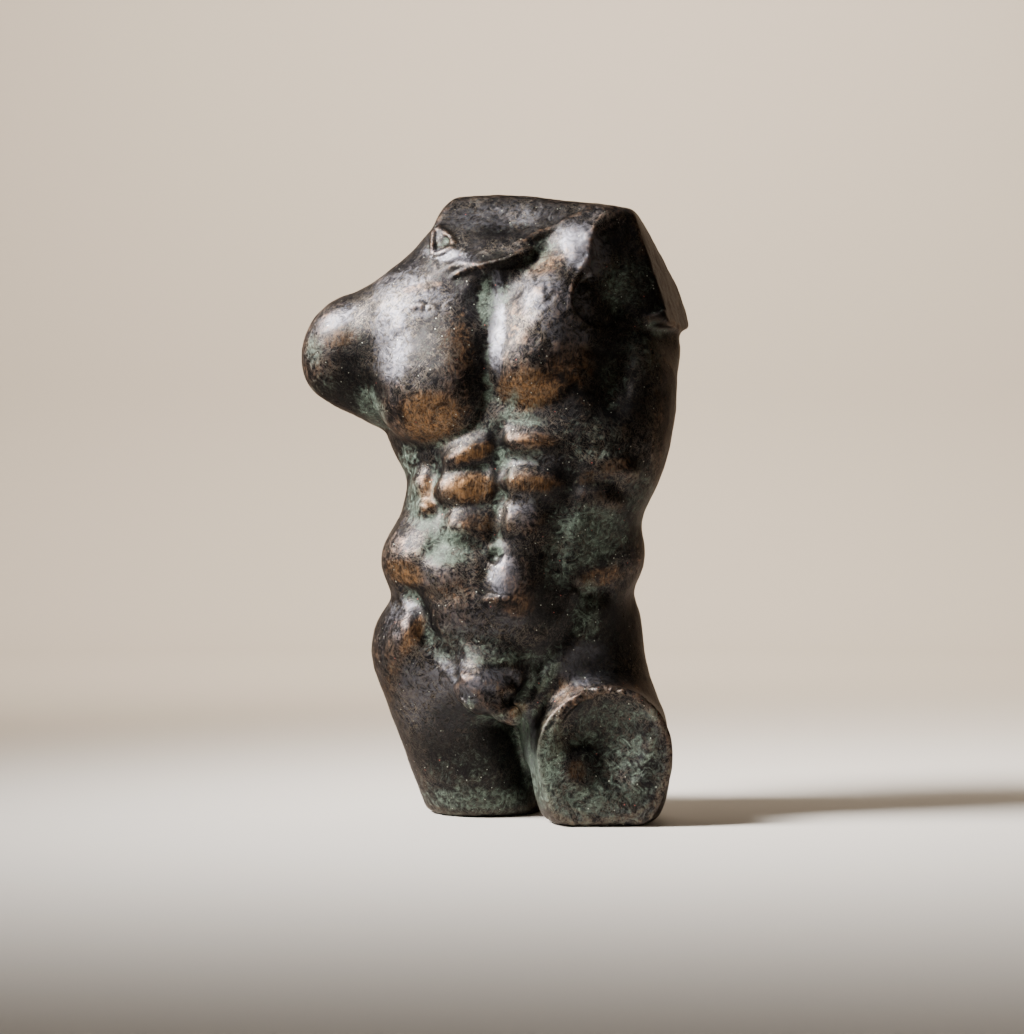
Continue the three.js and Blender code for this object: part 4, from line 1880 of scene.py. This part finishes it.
    def rises(self, points: Points, normals: Points, edges: np.ndarray) -> list[Values]:
        """How far each vertex stands out of its smoothed surroundings, in millimetres.

        Args:
            points: Vertex places.
            normals: Vertex normals.
            edges: Pairs of neighbouring vertices.

        Returns:
            Heights over the close and over the wide surroundings, negative in hollows.
        """
        count = len(points)
        a, b = edges.T
        valence = np.bincount(a, minlength=count) + np.bincount(b, minlength=count)
        smooth = points.astype(np.float64)
        heights = []
        for rounds in (self.fine_rounds, self.wide_rounds):
            for _ in range(rounds):
                sums = np.stack(
                    [
                        np.bincount(a, smooth[b, axis], count) + np.bincount(b, smooth[a, axis], count)
                        for axis in range(3)
                    ],
                    axis=1,
                )
                middle = sums / np.maximum(valence, 1)[:, None]
                smooth = (1 - self.smoothing) * smooth + self.smoothing * middle
            heights.append(np.einsum("ij,ij->i", points - smooth, normals))
        return heights


@dataclass(frozen=True)
class Lamp:
    """Square area light with a grid, which lets through an angle of so many degrees.

    Its place, its target and the length of its side are in metres, its power in watts.
    """

    name: str
    place: Triple
    target: Triple
    size: float
    power: float
    colour: str
    grid: float

    def hang(self) -> None:
        """Adds the light to the scene."""
        data = bpy.data.lights.new(self.name, "AREA")
        data.size = self.size
        data.energy = self.power
        data.color = linear(self.colour)[:3]
        data.spread = math.radians(self.grid)
        lamp = bpy.data.objects.new(self.name, data)
        lamp.location = self.place
        aim = Vector(self.target) - Vector(self.place)
        lamp.rotation_euler = aim.to_track_quat("-Z", "Y").to_euler()
        bpy.context.scene.collection.objects.link(lamp)


@dataclass(frozen=True)
class Studio:
    """Round, plain pale floor that sweeps up into a wall, soft lights and the camera."""

    lamps: tuple[Lamp, ...] = (
        # high at the figure's right, for the long highlights down its front
        Lamp("key", (-1.98, -0.62, 1.95), (0.0, 0.0, 0.36), 0.9, 27.0, "#fcf7f2", 36.0),
        # from above on the wall behind the figure
        Lamp("wash", (0.2, 1.0, 2.8), (0.2, 3.3, 0.4), 1.2, 124.0, "#ffecd6", 130.0),
    )
    haze: str = "#d9d6d2"
    haze_strength: float = 0.02
    wall: str = "#c9c5bf"
    wall_roughness: float = 0.9
    floor_radius: float = 2.9
    bend_radius: float = 0.6
    height: float = 3.2
    bend_steps: int = 16
    around_steps: int = 96
    camera_place: Triple = (0.0164, -2.2604, 0.288)
    camera_lens: float = 81.5
    sensor: float = 36.0

    def build(self) -> None:
        """Builds the camera, the floor, the lights and the faint light of the room."""
        self.make_camera()
        self.make_floor()
        for lamp in self.lamps:
            lamp.hang()
        world = bpy.data.worlds.new("soft room")
        world.use_nodes = True
        background = world.node_tree.nodes["Background"]
        background.inputs["Color"].default_value = linear(self.haze)
        background.inputs["Strength"].default_value = self.haze_strength
        bpy.context.scene.world = world

    def make_camera(self) -> None:
        """Camera at the height and distance that the figure is seen from."""
        camera = bpy.data.objects.new("camera", bpy.data.cameras.new("camera"))
        camera.data.lens = self.camera_lens
        camera.data.sensor_width = self.sensor
        camera.location = self.camera_place
        camera.rotation_euler = (math.pi / 2, 0.0, 0.0)
        bpy.context.scene.collection.objects.link(camera)
        bpy.context.scene.camera = camera

    def make_floor(self) -> None:
        """Floor with its swept-up wall, spun from one outline."""
        work = bmesh.new()
        outline = [(0.0, 0.0), (self.floor_radius, 0.0)]
        for step in range(1, self.bend_steps + 1):
            angle = math.pi / 2 * step / self.bend_steps
            across = self.floor_radius + self.bend_radius * math.sin(angle)
            outline.append((across, self.bend_radius * (1 - math.cos(angle))))
        outline.append((self.floor_radius + self.bend_radius, self.height))
        line = [work.verts.new((0, across, up)) for across, up in outline]
        edges = [work.edges.new(pair) for pair in zip(line, line[1:])]
        bmesh.ops.spin(
            work,
            geom=line + edges,
            axis=(0, 0, 1),
            angle=2 * math.pi,
            steps=self.around_steps,
            use_merge=True,
        )
        bmesh.ops.remove_doubles(work, verts=work.verts, dist=MM)
        # the room is seen from inside
        bmesh.ops.recalc_face_normals(work, faces=work.faces)
        bmesh.ops.reverse_faces(work, faces=work.faces)
        mesh = bpy.data.meshes.new("studio_floor")
        work.to_mesh(mesh)
        work.free()
        mesh.polygons.foreach_set("use_smooth", [True] * len(mesh.polygons))
        floor = bpy.data.objects.new("studio_floor", mesh)
        bpy.context.scene.collection.objects.link(floor)
        material = bpy.data.materials.new("matt_painted_floor")
        material.use_nodes = True
        shader = material.node_tree.nodes["Principled BSDF"]
        shader.inputs["Base Color"].default_value = linear(self.wall)
        shader.inputs["Roughness"].default_value = self.wall_roughness
        mesh.materials.append(material)


def main() -> None:
    """Builds the studio and the torso."""
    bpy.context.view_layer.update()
    Studio().build()
    log.info("studio built")
    skin = CastSkin().build(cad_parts["torso"])
    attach(skin, "root")
    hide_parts("torso")
    log.info("%s: %d triangles", skin.name, len(skin.data.polygons))


if __name__ == "__main__":
    main()
